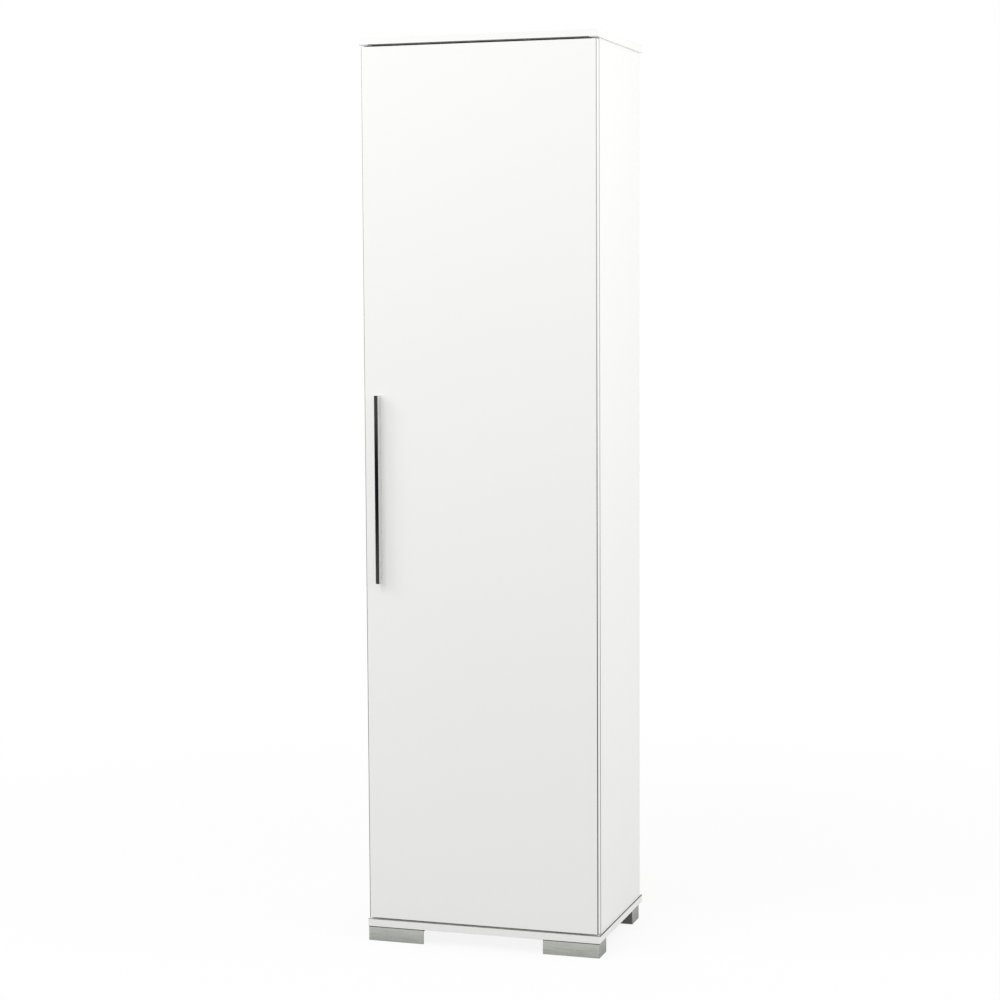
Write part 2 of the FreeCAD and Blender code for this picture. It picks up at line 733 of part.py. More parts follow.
# Shelf pins, with spare holes above and below each pin.
SPARE_HOLE_STEPS = (-2, -1, 0, 1, 2)
shelf_pins = []
for side in SIDES:
    for place in ROWS:
        tag = f"{side}_{place}_shelf_pin"
        spot = (f"shelf_pin_y_{place}", "shelf_pin_height")
        peg_span = mirrored(side, "side_in - shelf_pin_reach", "side_in + shelf_pin_depth")
        collar_span = mirrored(side, "side_in - shelf_pin_collar", "side_in")
        hole_span = mirrored(side, "side_in - cut_overrun", "side_in + shelf_pin_depth + fit_clearance")
        peg = rod(f"{tag}_peg", "x", "shelf_pin_radius", *peg_span, spot)
        collar = rod(f"{tag}_collar", "x", "shelf_pin_collar_radius", *collar_span, spot)
        shelf_pins.append(fuse(tag, peg, collar))
        drilling[side] += [
            rod(f"{tag}_hole_{number}", "x", "shelf_pin_radius + fit_clearance", *hole_span,
                (spot[0], f"shelf_pin_height + {step} * shelf_hole_pitch"))
            for number, step in enumerate(SPARE_HOLE_STEPS)
        ]
node(group("shelf_pin_set", shelf_pins), "shelf_pins")

# Back panel, nailed to the sides and the fixed shelf.
NAIL_ROWS = 8
NAIL_SHARES = [step / (NAIL_ROWS - 1) for step in range(NAIL_ROWS)]
SHELF_NAIL_SHARES = (-0.5, 0, 0.5)
nail_span = "roof_low - floor_top - 2 * nail_end_inset"
nail_spots = {
    side: [
        (across(side, "side_middle"), f"floor_top + nail_end_inset + ({nail_span}) * {share}")
        for share in NAIL_SHARES
    ]
    for side in SIDES
}
nail_spots["fixed_shelf"] = [(f"side_in * {share}", "fixed_shelf_middle") for share in SHELF_NAIL_SHARES]
nails = []
nail_holes = []
for board, spots in nail_spots.items():
    for number, spot in enumerate(spots):
        made, hole = screw(f"{board}_nail_{number}", "y", "nail", "-", "back_face", "nail_length", spot)
        nails.append(made)
        nail_holes.append(hole)
        drilling[board].append(hole)
node(group("nail_set", nails), "back_panel_nails")
back_board = box(
    "back_board", ("back_side_inset - side_out", "side_out - back_side_inset"),
    ("side_rear", "back_face"), ("floor_top", "roof_low"),
)
node(cut("back_panel", back_board, *nail_holes), "back_panel")

# Side panels, banded along the front.
side_bands = []
for side in SIDES:
    height = ("floor_top", "roof_low")
    width = mirrored(side, "side_in", "side_out")
    core = box(f"{side}_side_core", width, ("side_front + edging_thickness", "side_rear"), height)
    node(cut(f"{side}_side_panel", core, *drilling[side]), f"{side}_side_panel")
    band_depth = ("side_front", "side_front + edging_thickness")
    side_bands.append(box(f"{side}_side_band", width, band_depth, height))
node(group("side_band_set", side_bands), "side_panel_edgings")


def shelf(name, out, rear):
    """Make a shelf's board and the band along its front."""
    width = (f"-({out})", out)
    height = (f"{name}_low", f"{name}_height")
    board = box(f"{name}_core", width, ("shelf_front + edging_thickness", rear), height)
    band = box(f"{name}_band", width, ("shelf_front", "shelf_front + edging_thickness"), height)
    return board, band


fixed_board, fixed_band = shelf("fixed_shelf", "side_in", "side_rear")
loose_board, loose_band = shelf("loose_shelf", "loose_shelf_out", "loose_shelf_rear")
node(cut("fixed_shelf_drilled", fixed_board, *drilling["fixed_shelf"]), "fixed_shelf")
node(loose_board, "adjustable_shelf")
node(group("shelf_band_set", [fixed_band, loose_band]), "shelf_edgings")

# Handle, a broad nose on a narrower neck, and its screws.
handle_profile = padded_profile("handle_profile", "XY_Plane", (
    ("0", "0"),
    ("handle_width", "0"),
    ("handle_width", "handle_nose_depth"),
    ("handle_width - handle_shoulder", "handle_nose_depth"),
    ("handle_width - handle_shoulder", "handle_projection"),
    ("handle_shoulder", "handle_projection"),
    ("handle_shoulder", "handle_nose_depth"),
    ("0", "handle_nose_depth"),
), "handle_length")
bind(
    handle_profile,
    x="handle_x - handle_width / 2",
    y="front - handle_projection",
    z="door_middle - handle_length / 2",
)
handle_screws = []
handle_holes = []
for end, way in ENDS.items():
    made, hole = screw(
        f"handle_{end}_screw", "y", "handle_screw", "-", "door_back", "door_thickness + handle_screw_bite",
        ("handle_x", beyond(way, "door_middle", "handle_screw_spacing / 2")),
    )
    handle_screws.append(made)
    handle_holes.append(hole)
    drilling["door"].append(hole)
node(cut("handle_bored", handle_profile, *handle_holes), "handle_bar")
node(group("handle_screw_set", handle_screws), "handle_screws")

# Door, its edge bands and its soft stops.
door_depth = ("front", "door_back")
door_width = ("edging_thickness - side_out", "side_out - edging_thickness")
door_core = box(
    "door_core", door_width, door_depth,
    ("door_low + edging_thickness", "door_high - edging_thickness"),
)
node(cut("door_drilled", door_core, *drilling["door"]), "door_panel")
door_bands = [
    box("door_low_band", door_width, door_depth, ("door_low", "door_low + edging_thickness")),
    box("door_high_band", door_width, door_depth, ("door_high - edging_thickness", "door_high")),
]
for side in SIDES:
    band_width = mirrored(side, "side_out - edging_thickness", "side_out")
    door_bands.append(box(f"door_{side}_band", band_width, door_depth, ("door_low", "door_high")))
node(group("door_band_set", door_bands), "door_edgings")
BUMPER_HEIGHTS = {"low": "door_low + bumper_end_inset", "high": "door_high - bumper_end_inset"}
bumpers = [
    rod(f"bumper_{end}", "y", "bumper_radius", "door_back", "side_front - slide_clearance",
        (across("left", "side_middle"), height))
    for end, height in BUMPER_HEIGHTS.items()
]
node(group("bumper_set", bumpers), "door_bumpers")

doc.recompute()
failed = [item.Name for item in doc.Objects if {"Invalid", "Error"} & set(item.State)]
if failed:
    raise SystemExit(f"these objects failed: {failed}")
for piece in nodes:
    if piece.Shape.isNull() or not piece.Shape.isValid() or not piece.Shape.Solids:
        raise SystemExit(f"{piece.Label} has no valid solid")
os.makedirs("parts", exist_ok=True)
for piece in nodes:
    piece.Shape.exportStep(f"parts/{piece.Label}.step")
    print(piece.Label, len(piece.Shape.Solids), "solids", round(piece.Shape.Volume), "mm3")
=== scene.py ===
"""Broom cupboard in white high-gloss board: finishes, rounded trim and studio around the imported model.

Lengths are metres in the model's own frame: +Z up, the door facing -Y, +X to the right from the front.
"""

import logging
import math
from dataclasses import dataclass, field
from enum import Enum
from typing import Iterable, Sequence, Union

import bmesh
import bpy
from mathutils import Matrix, Vector


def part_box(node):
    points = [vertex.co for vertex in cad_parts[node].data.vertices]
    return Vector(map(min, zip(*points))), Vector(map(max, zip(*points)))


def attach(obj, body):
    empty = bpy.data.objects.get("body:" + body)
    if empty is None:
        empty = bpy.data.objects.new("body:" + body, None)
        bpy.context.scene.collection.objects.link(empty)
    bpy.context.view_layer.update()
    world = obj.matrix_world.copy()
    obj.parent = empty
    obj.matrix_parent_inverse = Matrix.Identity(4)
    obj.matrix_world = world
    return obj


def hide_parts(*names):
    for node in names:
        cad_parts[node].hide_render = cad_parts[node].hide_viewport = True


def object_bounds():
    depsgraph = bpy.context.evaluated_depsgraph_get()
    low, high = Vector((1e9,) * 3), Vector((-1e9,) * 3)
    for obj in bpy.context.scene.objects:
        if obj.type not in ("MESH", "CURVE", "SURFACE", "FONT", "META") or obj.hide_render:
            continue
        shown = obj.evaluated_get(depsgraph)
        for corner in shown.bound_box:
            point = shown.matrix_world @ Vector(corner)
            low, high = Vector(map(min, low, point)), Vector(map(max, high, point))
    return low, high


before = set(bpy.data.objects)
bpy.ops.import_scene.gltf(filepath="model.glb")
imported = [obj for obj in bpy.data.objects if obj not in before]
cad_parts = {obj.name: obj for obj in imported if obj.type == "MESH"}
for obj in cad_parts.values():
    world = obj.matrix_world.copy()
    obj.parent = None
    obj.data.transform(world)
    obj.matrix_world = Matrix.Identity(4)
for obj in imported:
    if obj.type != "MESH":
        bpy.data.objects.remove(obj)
CAD_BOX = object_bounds()

log = logging.getLogger("broom_cupboard")

MM = 0.001
# Places within WELD of each other are one place, and a place within FLAT of a plane lies on it.
WELD = 0.001 * MM
FLAT = 0.05 * MM
FLAT_ANGLE = math.radians(1.0)

LEFT = Vector((-1, 0, 0))
RIGHT = Vector((1, 0, 0))
FRONT = Vector((0, -1, 0))
REAR = Vector((0, 1, 0))
DOWN = Vector((0, 0, -1))
UP = Vector((0, 0, 1))

Triple = tuple[float, float, float]
Colour = Triple
Range = tuple[float, float]
Stops = tuple[tuple[float, Colour], ...]
Paint = Union[Colour, bpy.types.NodeSocket]
Profile = Sequence[tuple[float, float]]
Span = tuple[Vector, Vector]

FULL_WHITE = (1.0, 1.0, 1.0, 1.0)
# The colour sockets of a Mix node go by number, because its sockets for other kinds share their names.
MIX_LOW = 6
MIX_HIGH = 7
MIX_RESULT = 2


class Axis(Enum):
    """The direction that a board's faces look along."""

    X = 0
    Y = 1
    Z = 2


class Body(Enum):
    """The bodies of the cupboard that new pieces move with."""

    CARCASS = "carcass"
    DOOR = "door"


class Slot(Enum):
    """The record's material slots, one for each kind of new piece."""

    EDGING = "white_edging"
    FOOT = "silver_foot"
    HANDLE = "handle_metal"
    SCREW = "screw_steel"
    CAP = "white_cap"
    PIN = "pin_steel"
    RUBBER = "clear_rubber"


class Number:
    """A number that changes over a surface: operators on it add Math nodes."""

    def __init__(self, graph: "Graph", socket: bpy.types.NodeSocket) -> None:
        """Wrap an output socket of a graph."""
        self.graph = graph
        self.socket = socket

    def math(self, operation: str, *others: "Operand") -> "Number":
        """Add a Math node with this number as its first operand."""
        return self.graph.calculate(operation, self, *others)

    def __add__(self, other: "Operand") -> "Number":
        """Add."""
        return self.math("ADD", other)

    def __radd__(self, other: "Operand") -> "Number":
        """Add to a plain number."""
        return self.math("ADD", other)

    def __sub__(self, other: "Operand") -> "Number":
        """Subtract."""
        return self.math("SUBTRACT", other)

    def __rsub__(self, other: "Operand") -> "Number":
        """Subtract from a plain number."""
        return self.graph.calculate("SUBTRACT", other, self)

    def __mul__(self, other: "Operand") -> "Number":
        """Multiply."""
        return self.math("MULTIPLY", other)

    def __rmul__(self, other: "Operand") -> "Number":
        """Multiply a plain number."""
        return self.math("MULTIPLY", other)

    def __gt__(self, other: "Operand") -> "Number":
        """Give one where this number is the greater."""
        return self.math("GREATER_THAN", other)

    def __abs__(self) -> "Number":
        """Take the size without the sign."""
        return self.math("ABSOLUTE")

    def greater_of(self, other: "Operand") -> "Number":
        """Take the greater of two numbers."""
        return self.math("MAXIMUM", other)

    def between(self, low: float, high: float) -> "Number":
        """Run from low at nought to high at one."""
        return low + self * (high - low)

    def rise(self, start: float, end: float) -> "Number":
        """Climb smoothly from nought at start to one at end.

        Args:
            start: where the climb begins.
            end: where it is complete.

        Returns:
            The climbed share.
        """
        made = self.graph.node(
            "ShaderNodeMapRange",
            {"interpolation_type": "SMOOTHSTEP"},
            {"Value": self, "From Min": start, "From Max": end},
        )
        return Number(self.graph, made.outputs["Result"])


Operand = Union[Number, float]


@dataclass(frozen=True)
class Grain:
    """A smooth noise: its blotches to a metre, its finer layers and its squeeze along each axis."""

    scale: float
    detail: float = 2.0
    squeeze: Triple = (1.0, 1.0, 1.0)


class Graph:
    """Builds the nodes of one material, or of the world."""

    def __init__(self, tree: bpy.types.NodeTree) -> None:
        """Take over a node tree and empty it."""
        self.tree = tree
        tree.nodes.clear()

    def node(
        self, kind: str, settings: dict | None = None, sockets: dict | None = None
    ) -> bpy.types.Node:
        """Add a node.

        Args:
            kind: the node's type.
            settings: its own settings, set first, with a ramp's stops under that word.
            sockets: values or links for its inputs, by name or number.

        Returns:
            The node.
        """
        made = self.tree.nodes.new(kind)
        for name, value in (settings or {}).items():
            if name == "stops":
                self.set_stops(made.color_ramp, value)
            else:
                setattr(made, name, value)
        for key, value in (sockets or {}).items():
            source = value.socket if isinstance(value, Number) else value
            if isinstance(source, bpy.types.NodeSocket):
                self.tree.links.new(source, made.inputs[key])
            else:
                made.inputs[key].default_value = source
        return made

    @staticmethod
    def set_stops(ramp: bpy.types.ColorRamp, stops: Stops) -> None:
        """Give a ramp its stops.

        Args:
            ramp: a new ramp, with two stops.
            stops: each stop's place and colour, in order.
        """
        while len(ramp.elements) < len(stops):
            ramp.elements.new(1.0)
        for element, (place, colour) in zip(ramp.elements, stops):
            element.position = place
            element.color = (*colour, 1.0)

    def calculate(self, operation: str, *operands: Operand) -> Number:
        """Add a Math node on its operands, in order."""
        made = self.node("ShaderNodeMath", {"operation": operation}, dict(enumerate(operands)))
        return Number(self, made.outputs[0])

    def coordinates(self) -> bpy.types.NodeSocket:
        """Give the object's own coordinates."""
        return self.node("ShaderNodeTexCoord").outputs["Object"]

    def places(self) -> tuple[Number, Number, Number]:
        """Give the object's own coordinates as three numbers."""
        made = self.node("ShaderNodeSeparateXYZ", None, {0: self.coordinates()})
        return tuple(Number(self, output) for output in made.outputs)

    def noise(self, grain: Grain) -> Number:
        """Add smooth noise.

        Args:
            grain: what the noise is like.

        Returns:
            The noise, about a half.
        """
        squeezed = self.node(
            "ShaderNodeMapping", None, {"Vector": self.coordinates(), "Scale": grain.squeeze}
        )
        made = self.node(
            "ShaderNodeTexNoise", None,
            {"Vector": squeezed.outputs["Vector"], "Scale": grain.scale, "Detail": grain.detail},
        )
        return Number(self, made.outputs["Fac"])

    def flakes(self, scale: float) -> Number:
        """Add cells of random tone.

        Args:
            scale: how many cells there are to a metre.

        Returns:
            The tone, from nought to one.
        """
        cells = self.node("ShaderNodeTexVoronoi", None, {"Vector": self.coordinates(), "Scale": scale})
        tone = self.node("ShaderNodeSeparateColor", None, {0: cells.outputs["Color"]})
        return Number(self, tone.outputs[0])

    def background_rays(self) -> Number:
        """Tell apart the rays that show the background.

        Returns:
            One on rays that are seen, mirrored or through glass, and nought on others.
        """
        path = self.node("ShaderNodeLightPath")
        seen, mirrored, through = (
            Number(self, path.outputs[name])
            for name in ("Is Camera Ray", "Is Glossy Ray", "Is Transmission Ray")
        )
        return seen.greater_of(mirrored).greater_of(through)

    def ramp(self, share: Number, stops: Stops) -> bpy.types.NodeSocket:
        """Turn a number into a colour along a ramp."""
        return self.node("ShaderNodeValToRGB", {"stops": stops}, {"Fac": share}).outputs["Color"]

    def mix(self, share: Operand, low: Paint, high: Paint) -> bpy.types.NodeSocket:
        """Mix two colours.

        Args:
            share: how much of the second colour there is.
            low: the colour at nought.
            high: the colour at one.

        Returns:
            The mixed colour.
        """
        ends = {
            key: (*colour, 1.0) if isinstance(colour, tuple) else colour
            for key, colour in ((MIX_LOW, low), (MIX_HIGH, high))
        }
        made = self.node("ShaderNodeMix", {"data_type": "RGBA"}, {0: share, **ends})
        return made.outputs[MIX_RESULT]

    def bump(self, height: Number, depth: float = 1.0) -> bpy.types.NodeSocket:
        """Give a normal for a height in metres, or for a height that is a share of a depth in metres."""
        made = self.node("ShaderNodeBump", None, {"Height": height, "Distance": depth})
        return made.outputs["Normal"]

    def principled(self, **sockets: Operand | bpy.types.NodeSocket) -> None:
        """Finish a material with one shader.

        Args:
            sockets: values or links for its inputs, with underscores for the spaces in their names.
        """
        named = {name.replace("_", " "): value for name, value in sockets.items()}
        shader = self.node("ShaderNodeBsdfPrincipled", None, named)
        self.node("ShaderNodeOutputMaterial", None, {"Surface": shader.outputs[0]})


@dataclass(frozen=True)
class Finish:
    """A surface finish, painted once into a material of its own name."""

    name: str

    def material(self) -> bpy.types.Material:
        """Paint the finish, the first time that it is asked for.

        Returns:
            The finish's material.
        """
        found = bpy.data.materials.get(self.name)
        if found is None:
            found = bpy.data.materials.new(self.name)
            found.use_nodes = True
            self.paint(Graph(found.node_tree))
        return found

    def paint(self, graph: Graph) -> None:
        """Paint the finish into an empty graph."""
        raise NotImplementedError


@dataclass(frozen=True)
class GlossBoard(Finish):
    """White high-gloss foil on both faces of a board, and raw chipboard on its cut edges."""

    axis: Axis
    low: float
    high: float
    white: Colour = (0.866, 0.867, 0.848)
    shaded: Colour = (0.851, 0.852, 0.831)
    chips: Stops = ((0.1, (0.20, 0.13, 0.07)), (0.45, (0.42, 0.30, 0.17)), (0.85, (0.62, 0.49, 0.32)))
    cloud: Grain = Grain(2.2, 3.0)
    wipe: Grain = Grain(7.0, 4.0, (1.0, 1.0, 0.35))
    peel: Grain = Grain(330.0, 1.0)
    dust: Grain = Grain(900.0)
    chip_scale: float = 420.0
    dust_share: float = 0.3
    gloss: Range = (0.13, 0.22)
    raw_rough: float = 0.85
    coat: float = 0.5
    coat_rough: float = 0.04
    peel_depth: float = 0.004 * MM
    grit_depth: float = 0.5 * MM

    def paint(self, graph: Graph) -> None:
        """Paint the foil, with its orange peel and wipe marks, and the pressed chips behind it.

        Args:
            graph: the material's empty graph.
        """
        place = graph.places()[self.axis.value]
        middle = (self.low + self.high) / 2
        foil = abs(place - middle) > (self.high - self.low) / 2 - FLAT
        white = graph.mix(graph.noise(self.cloud), self.shaded, self.white)
        flake = graph.flakes(self.chip_scale) * (1.0 - self.dust_share)
        chip = flake + graph.noise(self.dust) * self.dust_share
        raw = graph.ramp(chip, self.chips)
        gloss = graph.noise(self.wipe).between(*self.gloss)
        peel = graph.noise(self.peel) * self.peel_depth
        grit = chip * self.grit_depth
        graph.principled(
            Base_Color=graph.mix(foil, raw, white),
            Roughness=self.raw_rough - foil * (self.raw_rough - gloss),
            Coat_Weight=foil * self.coat,
            Coat_Roughness=self.coat_rough,
            Normal=graph.bump(foil * peel + (1.0 - foil) * grit),
        )


@dataclass(frozen=True)
class EdgeBand(Finish):
    """White gloss edge band, with the faint lines that the rollers leave along it."""

    white: Colour = (0.860, 0.863, 0.845)
    shaded: Colour = (0.835, 0.838, 0.818)
    cloud: Grain = Grain(3.0, 3.0)
    wear: Grain = Grain(9.0, 3.0)
    lines: Grain = Grain(160.0)
    rough: Range = (0.16, 0.26)
    coat: float = 0.4
    coat_rough: float = 0.05
    line_depth: float = 0.006 * MM

    def paint(self, graph: Graph) -> None:
        """Paint the band.

        Args:
            graph: the material's empty graph.
        """
        graph.principled(
            Base_Color=graph.mix(graph.noise(self.cloud), self.shaded, self.white),
            Roughness=graph.noise(self.wear).between(*self.rough),
            Coat_Weight=self.coat,
            Coat_Roughness=self.coat_rough,
            Normal=graph.bump(graph.noise(self.lines), self.line_depth),
        )


@dataclass(frozen=True)
class ShadeLinedArris(Finish):
    """Painted shade on the rounded arris of an edge band: a thin matt grey line, which greys towards the
    floor.
    """

    pale: Colour = (0.52, 0.525, 0.51)
    grey: Colour = (0.10, 0.101, 0.095)
    height: float = CAD_BOX[1].z
    line_grain: Grain = Grain(120.0, 3.0)
    marks_share: float = 0.1
    marks_depth: float = 0.03 * MM
    rough: Range = (0.5, 0.7)
    shine: float = 0.25

    def paint(self, graph: Graph) -> None:
        """Paint the grey line of shade.

        Args:
            graph: the material's empty graph.
        """
        shade_line_marks = graph.noise(self.line_grain)
        graph.principled(
            Base_Color=self.tone(graph, shade_line_marks),
            Roughness=shade_line_marks.between(*self.rough),
            Specular_IOR_Level=self.shine,
            Normal=graph.bump(shade_line_marks, self.marks_depth),
        )

    def tone(self, graph: Graph, shade_line_marks: Number) -> bpy.types.NodeSocket:
        """Darken the painted shade towards the floor.

        Args:
            graph: the material's graph.
            shade_line_marks: the fine marks along the line.

        Returns:
            The line's colour.
        """
        # Painted shade: the line is deeper towards the floor, where less light falls.
        climbed = graph.places()[2] * (1.0 / self.height)
        share = climbed * climbed * (1.0 - self.marks_share) + shade_line_marks * self.marks_share
        return graph.mix(share, self.grey, self.pale)


@dataclass(frozen=True)
class OverDoorArris(ShadeLinedArris):
    """Painted shade on the arris over the door: dark along the cupboard's opening, where the gap shows
    the dark inside, and pale over its sides, where the gap shows their lit front edges.
    """

    opening: float = field(kw_only=True)
    fade: float = 2.0 * MM
    dark: Colour = (0.135, 0.135, 0.13)
    pale: Colour = (0.75, 0.755, 0.74)

    def tone(self, graph: Graph, shade_line_marks: Number) -> bpy.types.NodeSocket:
        """Paint the gap's shade dark between the sides.

        Args:
            graph: the material's graph.
            shade_line_marks: the fine marks along the line.

        Returns:
            The line's colour.
        """
        # Painted shade of the gap over the door: dark where it opens onto the inside, paler over the
        # sides' lit front edges.
        past = abs(graph.places()[0]).rise(self.opening, self.opening + self.fade)
        return graph.mix(past, self.dark, super().tone(graph, shade_line_marks))


@dataclass(frozen=True)
class Hardboard(Finish):
    """Thin hardboard, printed white on the side that shows inside and bare brown fibre behind."""

    inside: float
    outside: float
    white: Colour = (0.80, 0.80, 0.775)
    shaded: Colour = (0.765, 0.765, 0.735)
    fibres: Stops = (
        (0.34, (0.20, 0.125, 0.065)), (0.5, (0.33, 0.215, 0.12)), (0.66, (0.45, 0.315, 0.19)),
    )
    level: Grain = Grain(210.0, 5.0, (0.35, 1.0, 1.0))
    upright: Grain = Grain(240.0, 5.0, (1.0, 1.0, 0.35))
    cloud: Grain = Grain(5.0, 3.0)
    print_cloud: Grain = Grain(60.0, 4.0)
    level_share: float = 0.4
    upright_share: float = 0.3
    cloud_share: float = 0.3
    printed_share: float = 0.15
    rough: Range = (0.48, 0.82)
    fibre_depth: float = 0.12 * MM

    def paint(self, graph: Graph) -> None:
        """Paint the printed side and the fibres.

        Args:
            graph: the material's empty graph.
        """
        bare = graph.places()[1] > (self.inside + self.outside) / 2
        level = graph.noise(self.level) * self.level_share
        upright = graph.noise(self.upright) * self.upright_share
        fibre = level + upright + graph.noise(self.cloud) * self.cloud_share
        white = graph.mix(graph.noise(self.print_cloud), self.shaded, self.white)
        graph.principled(
            Base_Color=graph.mix(bare, white, graph.ramp(fibre, self.fibres)),
            Roughness=bare.between(*self.rough),
            Normal=graph.bump(fibre * bare.between(self.printed_share, 1.0), self.fibre_depth),
        )


@dataclass(frozen=True)
class SilverLacquer(Finish):
    """Silver-grey lacquer with metal flake, brushed, darker towards the floor, with painted shade on its
    outer ends.
    """

    grey: Colour = (0.31, 0.318, 0.292)
    bright: Colour = (0.555, 0.568, 0.527)
    contact_shade: Colour = (0.05, 0.051, 0.048)
    brush: Grain = Grain(260.0, 4.0, (0.06, 1.0, 1.0))
    cloud: Grain = Grain(22.0, 3.0)
    flake_scale: float = 1400.0
    brush_share: float = 0.8
    flake_share: float = 0.3
    cloud_share: float = 0.2
    height_tone_share: float = 0.5
    painted_end_share: float = 0.32
    tones: Range = (0.35, 1.35)
    metal: float = 0.12
    rough: Range = (0.46, 0.66)
    shine: float = 0.3
    ends: Range = (248.0 * MM, 249.0 * MM)
    height: float = 30.0 * MM
    contact_shade_start: float = 1.8 * MM
    contact_shade_full: float = 1.08 * MM
    brush_depth: float = 0.02 * MM

    def paint(self, graph: Graph) -> None:
        """Paint the brushed flake, and a painted shadow line along the top, under the board above.

        Args:
            graph: the material's empty graph.
        """
        brushed = graph.noise(self.brush)
        flake = graph.flakes(self.flake_scale)
        cloud = graph.noise(self.cloud)
        across, _, climbed = graph.places()
        # Darker towards the floor and lighter towards the top.
        height_share = climbed * (1.0 / self.height)
        # Painted shade: the outer end faces are darker than the front.
        end = abs(across).rise(*self.ends)
        mottle = brushed * self.brush_share + flake * self.flake_share + cloud * self.cloud_share
        tone = mottle + height_share * self.height_tone_share - end * self.painted_end_share
        lacquer = graph.mix(tone.rise(*self.tones), self.grey, self.bright)
        # Painted shadow: a dark line along the top, where the board above meets the foot.
        contact_shade = climbed.rise(self.height - self.contact_shade_start, self.height - self.contact_shade_full)
        graph.principled(
            Base_Color=graph.mix(contact_shade, lacquer, self.contact_shade),
            Metallic=self.metal,
            Roughness=brushed.between(*self.rough),
            Specular_IOR_Level=self.shine,
            Normal=graph.bump(brushed, self.brush_depth),
        )


@dataclass(frozen=True)
class ReflectionPaintedChrome(Finish):
    """The handle's polished front, painted with a dark reflection, deepest at the middle of its length.
    """

    middle: float
    half_length: float
    deep: Colour = (0.010, 0.010, 0.011)
    palest_reflection: Colour = (0.052, 0.054, 0.054)
    streak: Grain = Grain(46.0, 4.0, (6.0, 6.0, 1.0))
    wave: Grain = Grain(30.0, 1.0, (1.0, 1.0, 0.3))
    deep_share: float = 0.12
    painted_end_share: float = 0.8
    streak_share: float = 0.3
    tones: Range = (0.1, 1.1)
    rough: Range = (0.10, 0.20)
    wave_depth: float = 0.01 * MM

    def paint(self, graph: Graph) -> None:
        """Paint the dark reflection into the plating, with the slow waves of a polished extrusion.

        Args:
            graph: the material's empty graph.
        """
        # Painted reflection: darkest at the middle of the bar, lighter towards its ends.
        along = abs(graph.places()[2] - self.middle)
        lighter = along.rise(self.half_length * self.deep_share, self.half_length)
        streak = graph.noise(self.streak)
        tone = lighter * self.painted_end_share + streak * self.streak_share
        graph.principled(
            Base_Color=graph.mix(tone.rise(*self.tones), self.deep, self.palest_reflection),
            Metallic=1.0,
            Roughness=streak.between(*self.rough),
            Normal=graph.bump(graph.noise(self.wave), self.wave_depth),
        )


@dataclass(frozen=True)
class PlatedMetal(Finish):
    """Plated or anodised metal, drawn along one direction."""

    dull: Colour
    bright: Colour
    rough: Range
    grain: Grain = Grain(600.0, 3.0)
    grain_depth: float = 0.01 * MM
    cloud: Grain = Grain(70.0, 3.0)
    cloud_share: float = 0.4
    tones: Range = (0.25, 0.75)

    def paint(self, graph: Graph) -> None:
        """Paint the drawn grain and the slight clouding of the plating.

        Args:
            graph: the material's empty graph.
        """
        drawn = graph.noise(self.grain)
        tone = drawn * (1.0 - self.cloud_share) + graph.noise(self.cloud) * self.cloud_share
        graph.principled(
            Base_Color=graph.mix(tone.rise(*self.tones), self.dull, self.bright),
            Metallic=1.0,
            Roughness=tone.between(*self.rough),
            Normal=graph.bump(drawn, self.grain_depth),
        )


@dataclass(frozen=True)
class MouldedPlastic(Finish):
    """Moulded plastic with a fine satin texture, white unless it is given another colour."""

    pale: Colour = (0.84, 0.84, 0.82)
    shaded: Colour = (0.79, 0.79, 0.765)
    texture_depth: float = 0.02 * MM
    texture: Grain = Grain(1500.0)
    cloud: Grain = Grain(90.0)
    rough: Range = (0.32, 0.46)

    def paint(self, graph: Graph) -> None:
        """Paint the satin texture.

        Args:
            graph: the material's empty graph.
        """
        texture = graph.noise(self.texture)
        graph.principled(
            Base_Color=graph.mix(graph.noise(self.cloud), self.shaded, self.pale),
            Roughness=texture.between(*self.rough),
            Normal=graph.bump(texture, self.texture_depth),
        )


@dataclass(frozen=True)
class BeechDowel(Finish):
    """Beech with its short dark flecks along the grain."""

    pale: Colour = (0.62, 0.44, 0.27)
    fleck: Colour = (0.38, 0.24, 0.13)
    grain: Grain = Grain(500.0, 4.0, (0.25, 1.0, 0.25))
    flecks: Range = (0.45, 0.7)
    rough: Range = (0.62, 0.77)
    grain_depth: float = 0.05 * MM

    def paint(self, graph: Graph) -> None:
        """Paint the grain and the flecks.

        Args:
            graph: the material's empty graph.
        """
        grain = graph.noise(self.grain)
        graph.principled(
            Base_Color=graph.mix(grain.rise(*self.flecks), self.pale, self.fleck),
            Roughness=grain.between(*self.rough),
            Normal=graph.bump(grain, self.grain_depth),
        )


@dataclass(frozen=True)
class ClearRubber(Finish):
    """Soft clear rubber, a little clouded."""

    clear: Colour = (0.80, 0.82, 0.82)
    cloudy: Colour = (0.66, 0.68, 0.69)
    cloud: Grain = Grain(320.0, 3.0)
    rough: Range = (0.22, 0.38)
    passed: float = 0.55
    refraction: float = 1.43
    skin_depth: float = 0.02 * MM

    def paint(self, graph: Graph) -> None:
        """Paint the cloud and the skin.

        Args:
            graph: the material's empty graph.
        """
        cloud = graph.noise(self.cloud)
        graph.principled(
            Base_Color=graph.mix(cloud, self.cloudy, self.clear),
            Roughness=cloud.between(*self.rough),
            Transmission_Weight=self.passed,
            IOR=self.refraction,
            Normal=graph.bump(cloud, self.skin_depth),
        )


